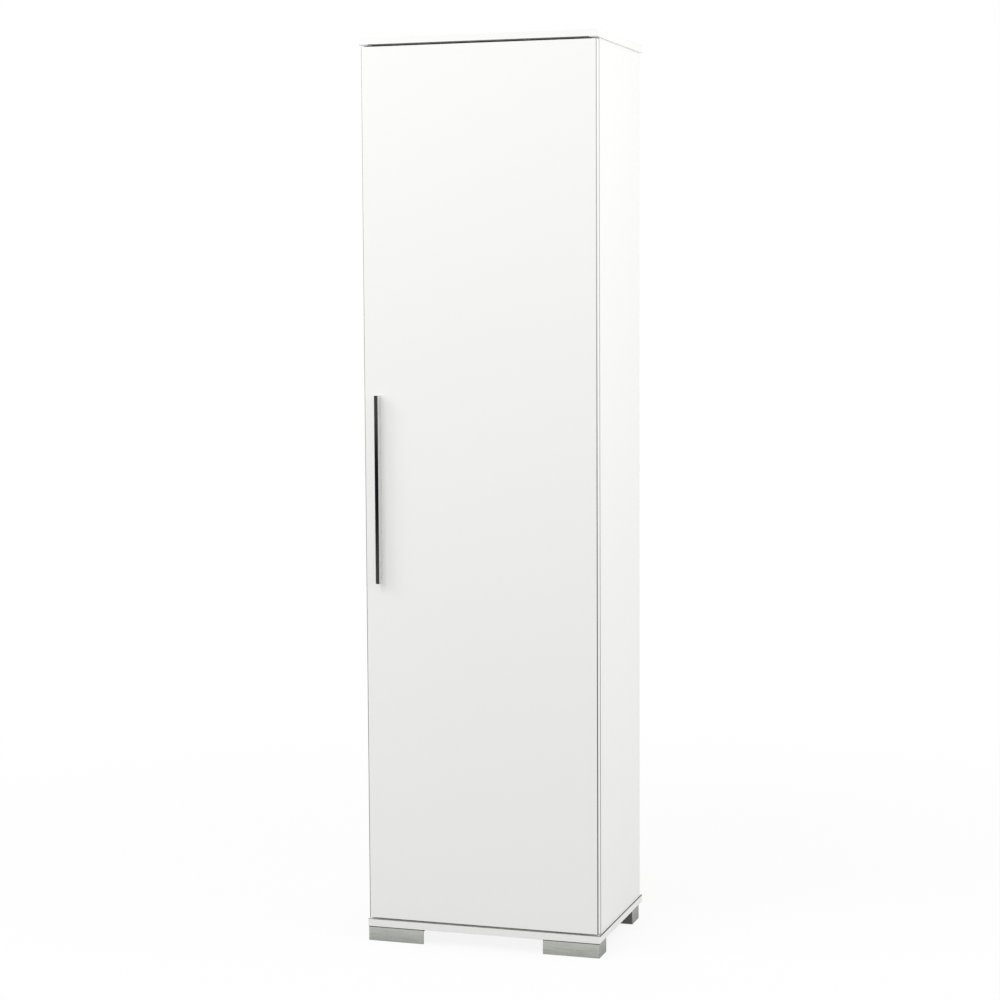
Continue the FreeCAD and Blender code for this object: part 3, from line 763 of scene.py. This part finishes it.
@dataclass(frozen=True)
class PaleFloor(Finish):
    """A pale studio floor that fades to the room's white and keeps a faint shadow."""

    seen: Colour = (0.82, 0.82, 0.82)
    cast: Colour = (0.50, 0.50, 0.50)
    shadow_share: float = 0.12
    fade: Range = (0.9, 2.6)

    def paint(self, graph: Graph) -> None:
        """Paint the floor white to the eye, with a pale share round the cupboard that shows its shadow.

        Args:
            graph: the material's empty graph.
        """
        across, along, _ = graph.places()
        distance = (across * across + along * along).math("SQRT")
        seen = graph.background_rays()
        white = seen * (1.0 - self.shadow_share * (1.0 - distance.rise(*self.fade)))
        pale = graph.node("ShaderNodeBsdfDiffuse", None, {"Color": graph.mix(seen, self.cast, self.seen)})
        glow = graph.node("ShaderNodeEmission", None, {"Color": FULL_WHITE, "Strength": 1.0})
        both = graph.node(
            "ShaderNodeMixShader", None, {0: white, 1: pale.outputs[0], 2: glow.outputs[0]}
        )
        graph.node("ShaderNodeOutputMaterial", None, {"Surface": both.outputs[0]})


EDGE_BAND = EdgeBand("white_gloss_band")
# Painted shade: the grey line on lined arrises.
ARRIS = ShadeLinedArris("painted_shade_arris")
FOOT_LACQUER = SilverLacquer("silver_foot_lacquer")
BRIGHT_ANODISED = PlatedMetal(
    "bright_anodised", (0.68, 0.685, 0.69), (0.88, 0.885, 0.89), (0.24, 0.38),
    Grain(900.0, 3.0, (1.0, 1.0, 0.02)),
)
NICKEL = PlatedMetal(
    "nickel_plate", (0.50, 0.49, 0.47), (0.72, 0.705, 0.68), (0.18, 0.32),
    Grain(600.0, 3.0, (0.3, 1.0, 1.0)),
)
ZINC = PlatedMetal("zinc_plate", (0.46, 0.47, 0.49), (0.68, 0.69, 0.71), (0.24, 0.38))
CAST_ZINC = PlatedMetal(
    "cast_zinc", (0.30, 0.305, 0.31), (0.46, 0.465, 0.47), (0.39, 0.53), grain_depth=0.05 * MM
)
BRIGHT_STEEL = PlatedMetal(
    "bright_steel", (0.52, 0.52, 0.52), (0.74, 0.74, 0.735), (0.12, 0.26),
    Grain(600.0, 3.0, (1.0, 1.0, 0.1)),
)
CAP_PLASTIC = MouldedPlastic("white_cap_plastic")
# Painted shade for the faces of the feet that don't look out.
FOOT_SHADE = MouldedPlastic("foot_painted_shade_plastic", (0.135, 0.138, 0.132), (0.105, 0.108, 0.103), 0.05 * MM)
BEECH = BeechDowel("beech_dowel")
RUBBER = ClearRubber("clear_rubber_dome")


@dataclass(frozen=True)
class Arris:
    """One rounded arris of an edge band's show face, white, or lined with a grey line of painted shade.
    """

    side: Vector
    radius: float
    lined: bool = False


def on_face(place: Vector, span: Span, way: Vector) -> bool:
    """Say whether a place lies on the face of a block that looks one way.

    Args:
        place: the place.
        span: the block's lowest and highest corners.
        way: where the face looks.

    Returns:
        Whether it lies there.
    """
    corner = span[1] if sum(way) > 0 else span[0]
    return abs((place - corner).dot(way)) < FLAT


class Workpiece:
    """One mesh on the bench, shaped with bmesh operators and then set on its body."""

    def __init__(self) -> None:
        """Start with an empty bench."""
        self.mesh = bmesh.new()

    def block(self, low: Vector, high: Vector) -> None:
        """Add a block between two corners.

        Args:
            low: the lowest corner.
            high: the highest corner.
        """
        verts = bmesh.ops.create_cube(self.mesh, size=1.0)["verts"]
        bmesh.ops.scale(self.mesh, vec=high - low, verts=verts)
        bmesh.ops.translate(self.mesh, vec=(low + high) / 2, verts=verts)

    def round_over(
        self, edges: Iterable[bmesh.types.BMEdge], radius: float, segments: int = 3
    ) -> list[bmesh.types.BMFace]:
        """Round edges over.

        Args:
            edges: the edges to round.
            radius: how far back the rounding starts.
            segments: how many facets it has.

        Returns:
            The new faces, shaded smooth.
        """
        made = bmesh.ops.bevel(
            self.mesh, geom=list(edges), offset=radius, offset_type="OFFSET", affect="EDGES",
            segments=segments, profile=0.5, material=-1, clamp_overlap=True,
        )
        self.mesh.normal_update()
        for face in made["faces"]:
            face.smooth = True
        return made["faces"]

    def strip(self, span: Span, outward: Vector, *arrises: Arris) -> None:
        """Add one edge band with rounded outer arrises.

        Args:
            span: the band's lowest and highest corners.
            outward: the way that its show face looks.
            arrises: the arrises of the show face, in the order that they are rounded.
        """
        band = Workpiece()
        band.block(*span)
        for arris in arrises:
            ways = (outward, arris.side)
            edges = [
                edge for edge in band.mesh.edges
                if all(on_face(vert.co, span, way) for vert in edge.verts for way in ways)
            ]
            for face in band.round_over(edges, arris.radius):
                face.material_index = int(arris.lined)
        bmesh.ops.dissolve_degenerate(band.mesh, dist=WELD, edges=band.mesh.edges[:])
        self.stamp(band, UP, Vector())
        band.mesh.free()

    def turn(self, profile: Profile, steps: int = 28) -> None:
        """Turn a profile about the Z axis, as on a lathe.

        Args:
            profile: radius and height of each point, from one end to the other.
            steps: how many facets go round.
        """
        verts = [self.mesh.verts.new((radius, 0.0, height)) for radius, height in profile]
        edges = [self.mesh.edges.new(pair) for pair in zip(verts, verts[1:])]
        bmesh.ops.spin(
            self.mesh, geom=verts + edges, cent=(0, 0, 0), axis=UP, angle=math.tau, steps=steps,
            use_merge=True,
        )
        bmesh.ops.remove_doubles(self.mesh, verts=self.mesh.verts[:], dist=WELD)
        bmesh.ops.recalc_face_normals(self.mesh, faces=self.mesh.faces[:])
        for face in self.mesh.faces:
            face.smooth = True

    def rims(self) -> list[bmesh.types.BMEdge]:
        """Give the edges that only one face holds."""
        return [edge for edge in self.mesh.edges if edge.is_boundary]

    def draw_out(self, edges: Sequence[bmesh.types.BMEdge], shift: Vector) -> list[bmesh.types.BMEdge]:
        """Draw a loop of edges out into a wall.

        Args:
            edges: the loop.
            shift: how far the wall reaches from it.

        Returns:
            The loop at the wall's far end.
        """
        made = bmesh.ops.extrude_edge_only(self.mesh, edges=edges)["geom"]
        moved = {item for item in made if isinstance(item, bmesh.types.BMVert)}
        bmesh.ops.translate(self.mesh, vec=shift, verts=list(moved))
        return [
            item for item in made
            if isinstance(item, bmesh.types.BMEdge) and set(item.verts) <= moved
        ]

    def drive_recess(
        self, height: float, arm: float, half_width: float, depth: float, taper: float
    ) -> None:
        """Close a turned head's open rim with a flat that has a cross recess.

        Args:
            height: the level of the rim.
            arm: the reach of the cross from the axis.
            half_width: half the width of its arms.
            depth: how deep it is.
            taper: the size of its floor as a share of its mouth.
        """
        rim = self.rims()
        corners = [
            Matrix.Rotation(quarter * math.pi / 2, 3, "Z") @ Vector((*spot, height))
            for quarter in range(4)
            for spot in ((arm, -half_width), (arm, half_width), (half_width, half_width))
        ]
        verts = [self.mesh.verts.new(corner) for corner in corners]
        cross = [self.mesh.edges.new(pair) for pair in zip(verts, verts[1:] + verts[:1])]
        bmesh.ops.triangle_fill(self.mesh, use_beauty=True, use_dissolve=False, edges=rim + cross)
        floor = self.draw_out(cross, DOWN * depth)
        sunk = list({vert for edge in floor for vert in edge.verts})
        bmesh.ops.scale(self.mesh, vec=(taper, taper, 1.0), verts=sunk)
        bmesh.ops.edgeloop_fill(self.mesh, edges=floor)
        bmesh.ops.recalc_face_normals(self.mesh, faces=self.mesh.faces[:])

    def stamp(self, pattern: "Workpiece", facing: Vector, place: Vector) -> None:
        """Add a copy of another workpiece, with its Z axis turned to face one way.

        Args:
            pattern: what is copied.
            facing: where its Z axis points.
            place: where its origin goes.
        """
        copy = bpy.data.meshes.new("stamp")
        pattern.mesh.to_mesh(copy)
        turned = UP.rotation_difference(facing).to_matrix().to_4x4()
        copy.transform(Matrix.Translation(place) @ turned)
        self.mesh.from_mesh(copy)
        bpy.data.meshes.remove(copy)

    def seat(
        self, name: str, body: Body, slot: Slot, finishes: Sequence[Finish], *nodes: str,
        crease: float = 0.0,
    ) -> None:
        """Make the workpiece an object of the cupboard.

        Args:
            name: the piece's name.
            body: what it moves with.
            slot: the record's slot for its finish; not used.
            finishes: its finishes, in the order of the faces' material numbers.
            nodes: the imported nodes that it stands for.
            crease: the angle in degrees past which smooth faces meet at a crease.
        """
        data = bpy.data.meshes.new(name)
        self.mesh.to_mesh(data)
        self.mesh.free()
        for finish in finishes:
            data.materials.append(finish.material())
        if crease:
            data.set_sharp_from_angle(angle=math.radians(crease))
        made = bpy.data.objects.new(name, data)
        bpy.context.scene.collection.objects.link(made)
        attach(made, body.value)
        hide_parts(*nodes)
        log.info("%s: %d faces, in place of %s", name, len(data.polygons), ", ".join(nodes))


def dress(node: str, finish: Finish) -> None:
    """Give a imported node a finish.

    Args:
        node: the node's name.
        finish: what its surface is.
    """
    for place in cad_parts[node].material_slots:
        place.material = finish.material()
    log.info("%s: %s", node, finish.name)


def solids(node: str) -> list[Span]:
    """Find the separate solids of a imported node.

    Args:
        node: the node's name.

    Returns:
        The lowest and highest corners of each solid.
    """
    copy = bmesh.new()
    copy.from_mesh(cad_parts[node].data)
    bmesh.ops.remove_doubles(copy, verts=copy.verts[:], dist=WELD)
    waiting = set(copy.verts)
    spans = []
    while waiting:
        reached = {waiting.pop()}
        brink = list(reached)
        while brink:
            vert = brink.pop()
            near = {edge.other_vert(vert) for edge in vert.link_edges} - reached
            reached |= near
            brink.extend(near)
        waiting -= reached
        places = [vert.co for vert in reached]
        low = Vector(map(min, *places))
        high = Vector(map(max, *places))
        spans.append((low, high))
    copy.free()
    return sorted(spans, key=lambda span: tuple(round(value, 5) for value in span[0]))


@dataclass
class Boards:
    """The flat boards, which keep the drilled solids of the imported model."""

    faces: dict[str, Axis] = field(default_factory=lambda: {
        "top_panel": Axis.Z,
        "bottom_panel": Axis.Z,
        "left_side_panel": Axis.X,
        "right_side_panel": Axis.X,
        "fixed_shelf": Axis.Z,
        "adjustable_shelf": Axis.Z,
        "door_panel": Axis.Y,
    })

    def finish(self) -> None:
        """Lacquer each board on its two faces and the back on its inside."""
        for node, axis in self.faces.items():
            low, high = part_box(node)
            dress(node, GlossBoard(f"{node}_gloss", axis, low[axis.value], high[axis.value]))
        low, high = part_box("back_panel")
        dress("back_panel", Hardboard("back_panel_hardboard", low.y, high.y))


@dataclass
class EdgeBands:
    """The edge bands: most arrises are eased, and some are rounded over and lined with painted shade."""

    thickness: float = 2.0 * MM
    rounded: float = 1.8 * MM
    halved: float = 0.9 * MM
    eased: float = 0.6 * MM

    def build(self) -> None:
        """Band the top and bottom boards, the sides, the shelves and the door."""
        up, down = self.plain(UP), self.plain(DOWN)
        # Painted shade: the grey line under the door stands for the gap's shade, and the lines on the
        # side arrises for the shadow of the joints with the side panels.
        under_door = Arris(UP, self.halved, True)
        self.board_bands("bottom_panel_edging", (under_door, down), (self.shade_line_marks(UP), down), ARRIS)
        # Painted shade: the top board's lower front arris carries the dark of the gap over the door.
        over_door = OverDoorArris("dark_scraped_arris", opening=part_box("right_side_panel")[0].x)
        self.board_bands("top_panel_edging", (self.shade_line_marks(DOWN), up), (up, down), over_door)
        self.side_bands()
        self.shelf_bands()
        self.door_bands()

    def plain(self, side: Vector) -> Arris:
        """Ease an arris."""
        return Arris(side, self.eased)

    def shade_line_marks(self, side: Vector) -> Arris:
        """Round an arris over and line it with painted shade."""
        return Arris(side, self.rounded, True)

    def board_bands(
        self, node: str, front: Sequence[Arris], sides: Sequence[Arris], shade_line_marks: Finish
    ) -> None:
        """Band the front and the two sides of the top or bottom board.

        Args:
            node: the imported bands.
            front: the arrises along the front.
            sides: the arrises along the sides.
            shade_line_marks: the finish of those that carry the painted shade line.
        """
        work = Workpiece()
        low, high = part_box(node)
        behind = low.y + self.thickness
        across = (low, Vector((high.x, behind, high.z)))
        left = (Vector((low.x, behind, low.z)), Vector((low.x + self.thickness, high.y, high.z)))
        right = (Vector((high.x - self.thickness, behind, low.z)), high)
        work.strip(across, FRONT, *front, self.plain(LEFT), self.plain(RIGHT))
        work.strip(left, LEFT, *sides)
        work.strip(right, RIGHT, *sides)
        work.seat(f"{node}_rounded", Body.CARCASS, Slot.EDGING, (EDGE_BAND, shade_line_marks), node)

    def side_bands(self) -> None:
        """Band the front edges of the side panels, with the painted shade line outside."""
        work = Workpiece()
        for span in solids("side_panel_edgings"):
            outside, inside = (RIGHT, LEFT) if span[0].x > 0 else (LEFT, RIGHT)
            # Painted shade: a grey line on each side panel's outer front arris, beside the door's gap.
            work.strip(span, FRONT, Arris(outside, self.eased, True), self.plain(inside))
        finishes = (EDGE_BAND, ARRIS)
        work.seat("side_edgings_rounded", Body.CARCASS, Slot.EDGING, finishes, "side_panel_edgings")

    def shelf_bands(self) -> None:
        """Band the front edges of the shelves."""
        work = Workpiece()
        for span in solids("shelf_edgings"):
            work.strip(span, FRONT, self.plain(UP), self.plain(DOWN))
        work.seat("shelf_edgings_rounded", Body.CARCASS, Slot.EDGING, (EDGE_BAND,), "shelf_edgings")

    def door_bands(self) -> None:
        """Band the door all round, with the painted shade line up both sides of its front."""
        work = Workpiece()
        low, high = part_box("door_edgings")
        inner_low = low + Vector((self.thickness, 0, self.thickness))
        inner_high = high - Vector((self.thickness, 0, self.thickness))
        # Painted shade: grey lines up both front arrises of the door, beside its gaps.
        bands = (
            (LEFT, self.shade_line_marks(FRONT), low, Vector((inner_low.x, high.y, high.z))),
            (RIGHT, self.shade_line_marks(FRONT), Vector((inner_high.x, low.y, low.z)), high),
            (DOWN, self.plain(FRONT), Vector((inner_low.x, low.y, low.z)),
             Vector((inner_high.x, high.y, inner_low.z))),
            (UP, self.plain(FRONT), Vector((inner_low.x, low.y, inner_high.z)),
             Vector((inner_high.x, high.y, high.z))),
        )
        for outward, front, start, end in bands:
            work.strip((start, end), outward, front, self.plain(REAR))
        work.seat("door_edgings_rounded", Body.DOOR, Slot.EDGING, (EDGE_BAND, ARRIS), "door_edgings")


@dataclass
class Foot:
    """One angle foot: a front wall and an outer wall under a flange, lacquered where it shows, and dark
    as painted shade on its other faces, the rear feet's front walls among them.
    """

    node: str
    wall: float = 3.0 * MM
    flange: float = 4.0 * MM
    corner: float = 1.5 * MM
    rim: float = 0.6 * MM
    shown_cosine: float = 0.3

    def build(self) -> None:
        """Draw the walls down from the flange, close its top and ease the edges."""
        low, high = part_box(self.node)
        work = Workpiece()
        mesh = work.mesh
        outer, inner = (high.x, low.x) if low.x > 0 else (low.x, high.x)
        web = outer - math.copysign(self.wall, outer)
        back = low.y + self.wall
        level = high.z - self.flange
        plan = (
            (inner, low.y), (outer, low.y), (outer, high.y), (web, high.y),
            (web, back), (inner, back), (inner, high.y),
        )
        *angle, far = [mesh.verts.new((*spot, level)) for spot in plan]
        walls = [mesh.edges.new(pair) for pair in zip(angle, angle[1:] + angle[:1])]
        mesh.faces.new((angle[5], angle[4], angle[3], far))
        bmesh.ops.edgeloop_fill(mesh, edges=work.draw_out(walls, DOWN * (level - low.z)))
        bmesh.ops.edgeloop_fill(mesh, edges=work.draw_out(work.rims(), UP * self.flange))
        bmesh.ops.dissolve_limit(mesh, angle_limit=FLAT_ANGLE, verts=mesh.verts[:], edges=mesh.edges[:])
        bmesh.ops.recalc_face_normals(mesh, faces=mesh.faces[:])
        self.ease(work, low, high)
        # Faces that look neither out nor, on front feet, to the front take the painted shade, the rear
        # feet's front walls among them.
        shown = [RIGHT if low.x > 0 else LEFT]
        if low.y < 0:
            shown.append(FRONT)
        for face in mesh.faces:
            face.material_index = int(all(face.normal.dot(way) < self.shown_cosine for way in shown))
        work.seat(f"{self.node}_angle", Body.CARCASS, Slot.FOOT, (FOOT_LACQUER, FOOT_SHADE), self.node)

    def ease(self, work: Workpiece, low: Vector, high: Vector) -> None:
        """Round the outer upright edges, and then the upper and lower rims.

        Args:
            work: the foot.
            low: its lowest corner.
            high: its highest corner.
        """
        corners = [Vector((x, y)) for x in (low.x, high.x) for y in (low.y, high.y)]
        upright = [
            edge for edge in work.mesh.edges
            if any(all((vert.co.xy - spot).length < FLAT for vert in edge.verts) for spot in corners)
        ]
        work.round_over(upright, self.corner, segments=4)
        rims = [
            edge for edge in work.mesh.edges
            if any(all(abs(vert.co.z - level) < FLAT for vert in edge.verts) for level in (low.z, high.z))
        ]
        work.round_over(rims, self.rim, segments=2)


@dataclass
class Handle:
    """The slim bar: a broad nose whose polished front carries a painted dark reflection, on a narrower
    neck.
    """

    nose_depth: float = 9.0 * MM
    shoulder: float = 1.0 * MM
    arris: float = 0.5 * MM
    front_cosine: float = 0.5

    def build(self) -> None:
        """Draw the section, run it up the bar and ease its arrises."""
        low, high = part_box("handle_bar")
        work = Workpiece()
        mesh = work.mesh
        nose = low.y + self.nose_depth
        section = (
            (low.x, low.y), (high.x, low.y), (high.x, nose), (high.x - self.shoulder, nose),
            (high.x - self.shoulder, high.y), (low.x + self.shoulder, high.y),
            (low.x + self.shoulder, nose), (low.x, nose),
        )
        outline = mesh.faces.new([mesh.verts.new((*spot, low.z)) for spot in section])
        made = bmesh.ops.extrude_face_region(mesh, geom=[outline])["geom"]
        risen = [item for item in made if isinstance(item, bmesh.types.BMVert)]
        bmesh.ops.translate(mesh, vec=UP * (high.z - low.z), verts=risen)
        bmesh.ops.recalc_face_normals(mesh, faces=mesh.faces[:])
        sharp = [
            edge for edge in mesh.edges
            if edge.is_convex and max(vert.co.y for vert in edge.verts) < nose + FLAT
        ]
        work.round_over(sharp, self.arris)
        # The front faces take the painted dark reflection, the others the bright metal.
        for face in mesh.faces:
            face.material_index = int(face.normal.dot(FRONT) <= self.front_cosine)
        front = ReflectionPaintedChrome("chrome_painted_dark_reflection", (low.z + high.z) / 2, (high.z - low.z) / 2)
        work.seat("handle_profile", Body.DOOR, Slot.HANDLE, (front, BRIGHT_ANODISED), "handle_bar")


@dataclass
class Screws:
    """A set of alike screws with cross recesses in their flat heads, or of ringed nails without them."""

    node: str
    body: Body
    facing: Vector
    shank: float
    head_height: float
    pitch: float = 1.2 * MM
    thread: float = 0.25 * MM
    recessed: bool = True
    tip_shanks: float = 2.0
    point_width_share: float = 0.3
    point_height_share: float = 0.1
    head_profile_shares: Profile = ((1.0, 0.0), (1.0, 0.4), (0.93, 0.78), (0.78, 1.0))
    recess_arm_share: float = 0.52
    recess_width_share: float = 0.12
    recess_depth_share: float = 0.6
    recess_taper_share: float = 0.75

    def build(self) -> None:
        """Turn one screw and set a copy at each place."""
        spans = solids(self.node)
        low, high = spans[0]
        size = high - low
        along = max(range(3), key=lambda axis: abs(self.facing[axis]))
        head = size[(along + 1) % 3] / 2
        pattern = self.pattern(head, size[along] - self.head_height)
        reach = size[along] / 2 - self.head_height
        work = Workpiece()
        for low, high in spans:
            work.stamp(pattern, self.facing, (low + high) / 2 + self.facing * reach)
        pattern.mesh.free()
        work.seat(f"{self.node}_turned", self.body, Slot.SCREW, (ZINC,), self.node, crease=35)

    def pattern(self, head: float, length: float) -> Workpiece:
        """Turn a screw that points down, with its seat at the origin.

        Args:
            head: the head's radius.
            length: how far the shank reaches below the seat.

        Returns:
            The screw.
        """
        tip = self.tip_shanks * self.shank
        core = self.shank - self.thread
        profile = [
            (0.0, -length),
            (core * self.point_width_share, -length + tip * self.point_height_share),
            (core, -length + tip),
        ]
        for number in range(int((length - tip) / self.pitch)):
            start = -length + tip + number * self.pitch
            profile += [(self.shank, start + self.pitch / 2), (core, start + self.pitch)]
        profile.append((self.shank, 0.0))
        for width, height in self.head_profile_shares:
            profile.append((head * width, self.head_height * height))
        work = Workpiece()
        if self.recessed:
            work.turn(profile)
            work.drive_recess(
                self.head_height, head * self.recess_arm_share, head * self.recess_width_share,
                self.head_height * self.recess_depth_share, self.recess_taper_share,
            )
        else:
            work.turn([*profile, (0.0, self.head_height)])
        return work


@dataclass
class TurnedSet:
    """A set of alike small turned or moulded pieces, each standing on a face."""

    node: str
    body: Body
    slot: Slot
    finish: Finish
    profile_shares: Profile
    facing: Vector | None = None

    def build(self) -> None:
        """Set a copy of the profile at each solid, scaled to its radius and length."""
        work = Workpiece()
        for low, high in solids(self.node):
            size = high - low
            facing = self.facing or self.inward(low, high)
            along = max(range(3), key=lambda axis: abs(facing[axis]))
            radius = size[(along + 1) % 3] / 2
            length = size[along]
            pattern = Workpiece()
            pattern.turn([(width * radius, height * length) for width, height in self.profile_shares])
            work.stamp(pattern, facing, (low + high) / 2 - facing * length / 2)
            pattern.mesh.free()
        work.seat(f"{self.node}_moulded", self.body, self.slot, (self.finish,), self.node, crease=40)

    @staticmethod
    def inward(low: Vector, high: Vector) -> Vector:
        """Say which way a piece faces: sideways to the middle or, on a shelf's underside, down.

        Args:
            low: the piece's lowest corner.
            high: its highest corner.

        Returns:
            The direction.
        """
        size = high - low
        if size.z < size.x:
            return DOWN
        return LEFT if low.x > 0 else RIGHT


@dataclass
class ShelfPins:
    """The pins under the loose shelf: a peg with a collar against the side panel."""

    collar: float = 0.8 * MM
    reach: float = 7.0 * MM
    peg_share: float = 0.625
    ease_share: float = 0.25
    collar_edge_share: float = 0.7

    def build(self) -> None:
        """Turn the pins and push them into the sides."""
        work = Workpiece()
        for low, high in solids("shelf_pins"):
            size = high - low
            radius = size.y / 2
            peg = radius * self.peg_share
            depth = size.x - self.reach
            ease = peg * self.ease_share
            pattern = Workpiece()
            pattern.turn((
                (0.0, -depth), (peg - ease, -depth), (peg, ease - depth), (peg, 0.0),
                (radius, 0.0), (radius, self.collar * self.collar_edge_share),
                (radius - ease / 2, self.collar), (peg, self.collar),
                (peg, self.reach - ease), (peg - ease, self.reach), (0.0, self.reach),
            ))
            facing = LEFT if low.x > 0 else RIGHT
            work.stamp(pattern, facing, (low + high) / 2 + facing * (size.x / 2 - self.reach))
            pattern.mesh.free()
        work.seat("shelf_pins_turned", Body.CARCASS, Slot.PIN, (BRIGHT_STEEL,), "shelf_pins", crease=40)


@dataclass
class Fittings:
    """Everything that holds the boards together and hangs the door."""

    nickel: tuple[str, ...] = (
        "hinge_mounting_plates", "hinge_arms", "hinge_cups", "hinge_outer_links", "hinge_inner_links",
    )
    steel: tuple[str, ...] = ("hinge_arm_pins", "hinge_cup_pins", "hinge_rear_pins", "cam_bolts")
    cap_shares: Profile = (
        (0.0, 0.0), (1.0, 0.0), (1.0, 0.35), (0.95, 0.75), (0.84, 0.97),
        (0.42, 1.0), (0.36, 0.8), (0.0, 0.78),
    )
    bumper_shares: Profile = (
        (0.0, 0.0), (1.0, 0.0), (1.0, 0.25), (0.93, 0.6), (0.75, 0.86), (0.45, 0.98), (0.0, 1.0),
    )

    def build(self) -> None:
        """Turn the small pieces and plate the rest."""
        turned = (
            Screws("foot_screws", Body.CARCASS, DOWN, 2.0 * MM, 2.4 * MM),
            Screws("hinge_plate_screws", Body.CARCASS, LEFT, 2.5 * MM, 2.2 * MM),
            Screws("hinge_arm_screws", Body.CARCASS, LEFT, 2.4 * MM, 2.0 * MM),
            Screws("hinge_cup_screws", Body.DOOR, REAR, 1.75 * MM, 1.8 * MM),
            Screws("handle_screws", Body.DOOR, REAR, 2.0 * MM, 2.5 * MM),
            Screws(
                "back_panel_nails", Body.CARCASS, REAR, 0.7 * MM, 0.8 * MM,
                pitch=2.0 * MM, thread=0.05 * MM, recessed=False,
            ),
            TurnedSet("cam_cover_caps", Body.CARCASS, Slot.CAP, CAP_PLASTIC, self.cap_shares),
            TurnedSet("door_bumpers", Body.DOOR, Slot.RUBBER, RUBBER, self.bumper_shares, REAR),
            ShelfPins(),
        )
        for pieces in turned:
            pieces.build()
        for node in self.nickel:
            dress(node, NICKEL)
        for node in self.steel:
            dress(node, BRIGHT_STEEL)
        dress("cam_locks", CAST_ZINC)
        dress("wooden_dowels", BEECH)


@dataclass(frozen=True)
class Lamp:
    """A soft studio lamp."""

    name: str
    place: Triple
    aim: Triple
    size: float
    power: float

    def hang(self) -> None:
        """Hang the lamp and point it."""
        data = bpy.data.lights.new(self.name, "AREA")
        data.shape = "SQUARE"
        data.size = self.size
        data.energy = self.power
        made = bpy.data.objects.new(self.name, data)
        made.location = self.place
        made.rotation_euler = (Vector(self.aim) - Vector(self.place)).to_track_quat("-Z", "Y").to_euler()
        bpy.context.scene.collection.objects.link(made)


@dataclass
class Studio:
    """A pale floor in a white room, with soft lamps."""

    ambient: float = 0.885
    floor_half: float = 9.0
    lamps: tuple[Lamp, ...] = (
        Lamp("key_lamp", (-0.8, -2.3, 3.2), (0.0, -0.1, 1.3), 1.5, 23.0),
        Lamp("left_lamp", (-2.6, -1.6, 2.6), (0.0, -0.1, 1.2), 1.2, 21.0),
        Lamp("side_lamp", (1.7, -0.3, 1.95), (0.2, 0.0, 1.4), 1.2, 12.0),
    )

    def build(self) -> None:
        """Lay the floor, whiten the room and hang the lamps."""
        self.whiten_room()
        self.lay_floor()
        for lamp in self.lamps:
            lamp.hang()
        bpy.context.scene.view_settings.view_transform = "Standard"

    def whiten_room(self) -> None:
        """Make the room white to the eye and a plain even light on the cupboard."""
        world = bpy.data.worlds.new("studio_room")
        world.use_nodes = True
        graph = Graph(world.node_tree)
        strength = graph.background_rays().between(self.ambient, 1.0)
        room = graph.node("ShaderNodeBackground", None, {"Color": FULL_WHITE, "Strength": strength})
        graph.node("ShaderNodeOutputWorld", None, {"Surface": room.outputs[0]})
        bpy.context.scene.world = world

    def lay_floor(self) -> None:
        """Lay the floor round the cupboard."""
        mesh = bmesh.new()
        bmesh.ops.create_grid(mesh, x_segments=1, y_segments=1, size=self.floor_half)
        data = bpy.data.meshes.new("studio_floor")
        mesh.to_mesh(data)
        mesh.free()
        data.materials.append(PaleFloor("pale_floor").material())
        floor = bpy.data.objects.new("studio_floor", data)
        bpy.context.scene.collection.objects.link(floor)


@dataclass(frozen=True)
class Viewpoint:
    """The camera, standing about where the photograph was taken from."""

    place: Triple = (1.4756, -4.7180, 1.3548)
    turn: float = 17.465
    tilt: float = 5.1
    lean: float = -0.323
    lens: float = 85.514
    sensor: float = 36.0

    def set_up(self) -> None:
        """Place the camera, turned to the left, tilted down and leaning a little."""
        data = bpy.data.cameras.new("studio_camera")
        data.sensor_width = self.sensor
        data.lens = self.lens
        made = bpy.data.objects.new("studio_camera", data)
        turned = (
            Matrix.Rotation(math.radians(self.turn), 4, "Z")
            @ Matrix.Rotation(math.radians(90.0 - self.tilt), 4, "X")
            @ Matrix.Rotation(math.radians(self.lean), 4, "Z")
        )
        made.matrix_world = Matrix.Translation(self.place) @ turned
        bpy.context.scene.collection.objects.link(made)
        bpy.context.scene.camera = made


def main() -> None:
    """Dress the cupboard and set up the studio."""
    logging.basicConfig(level=logging.INFO, format="%(name)s: %(message)s")
    Boards().finish()
    EdgeBands().build()
    for node in ("front_left_foot", "front_right_foot", "rear_left_foot", "rear_right_foot"):
        Foot(node).build()
    Handle().build()
    Fittings().build()
    Studio().build()
    Viewpoint().set_up()


if __name__ == "__main__":
    main()
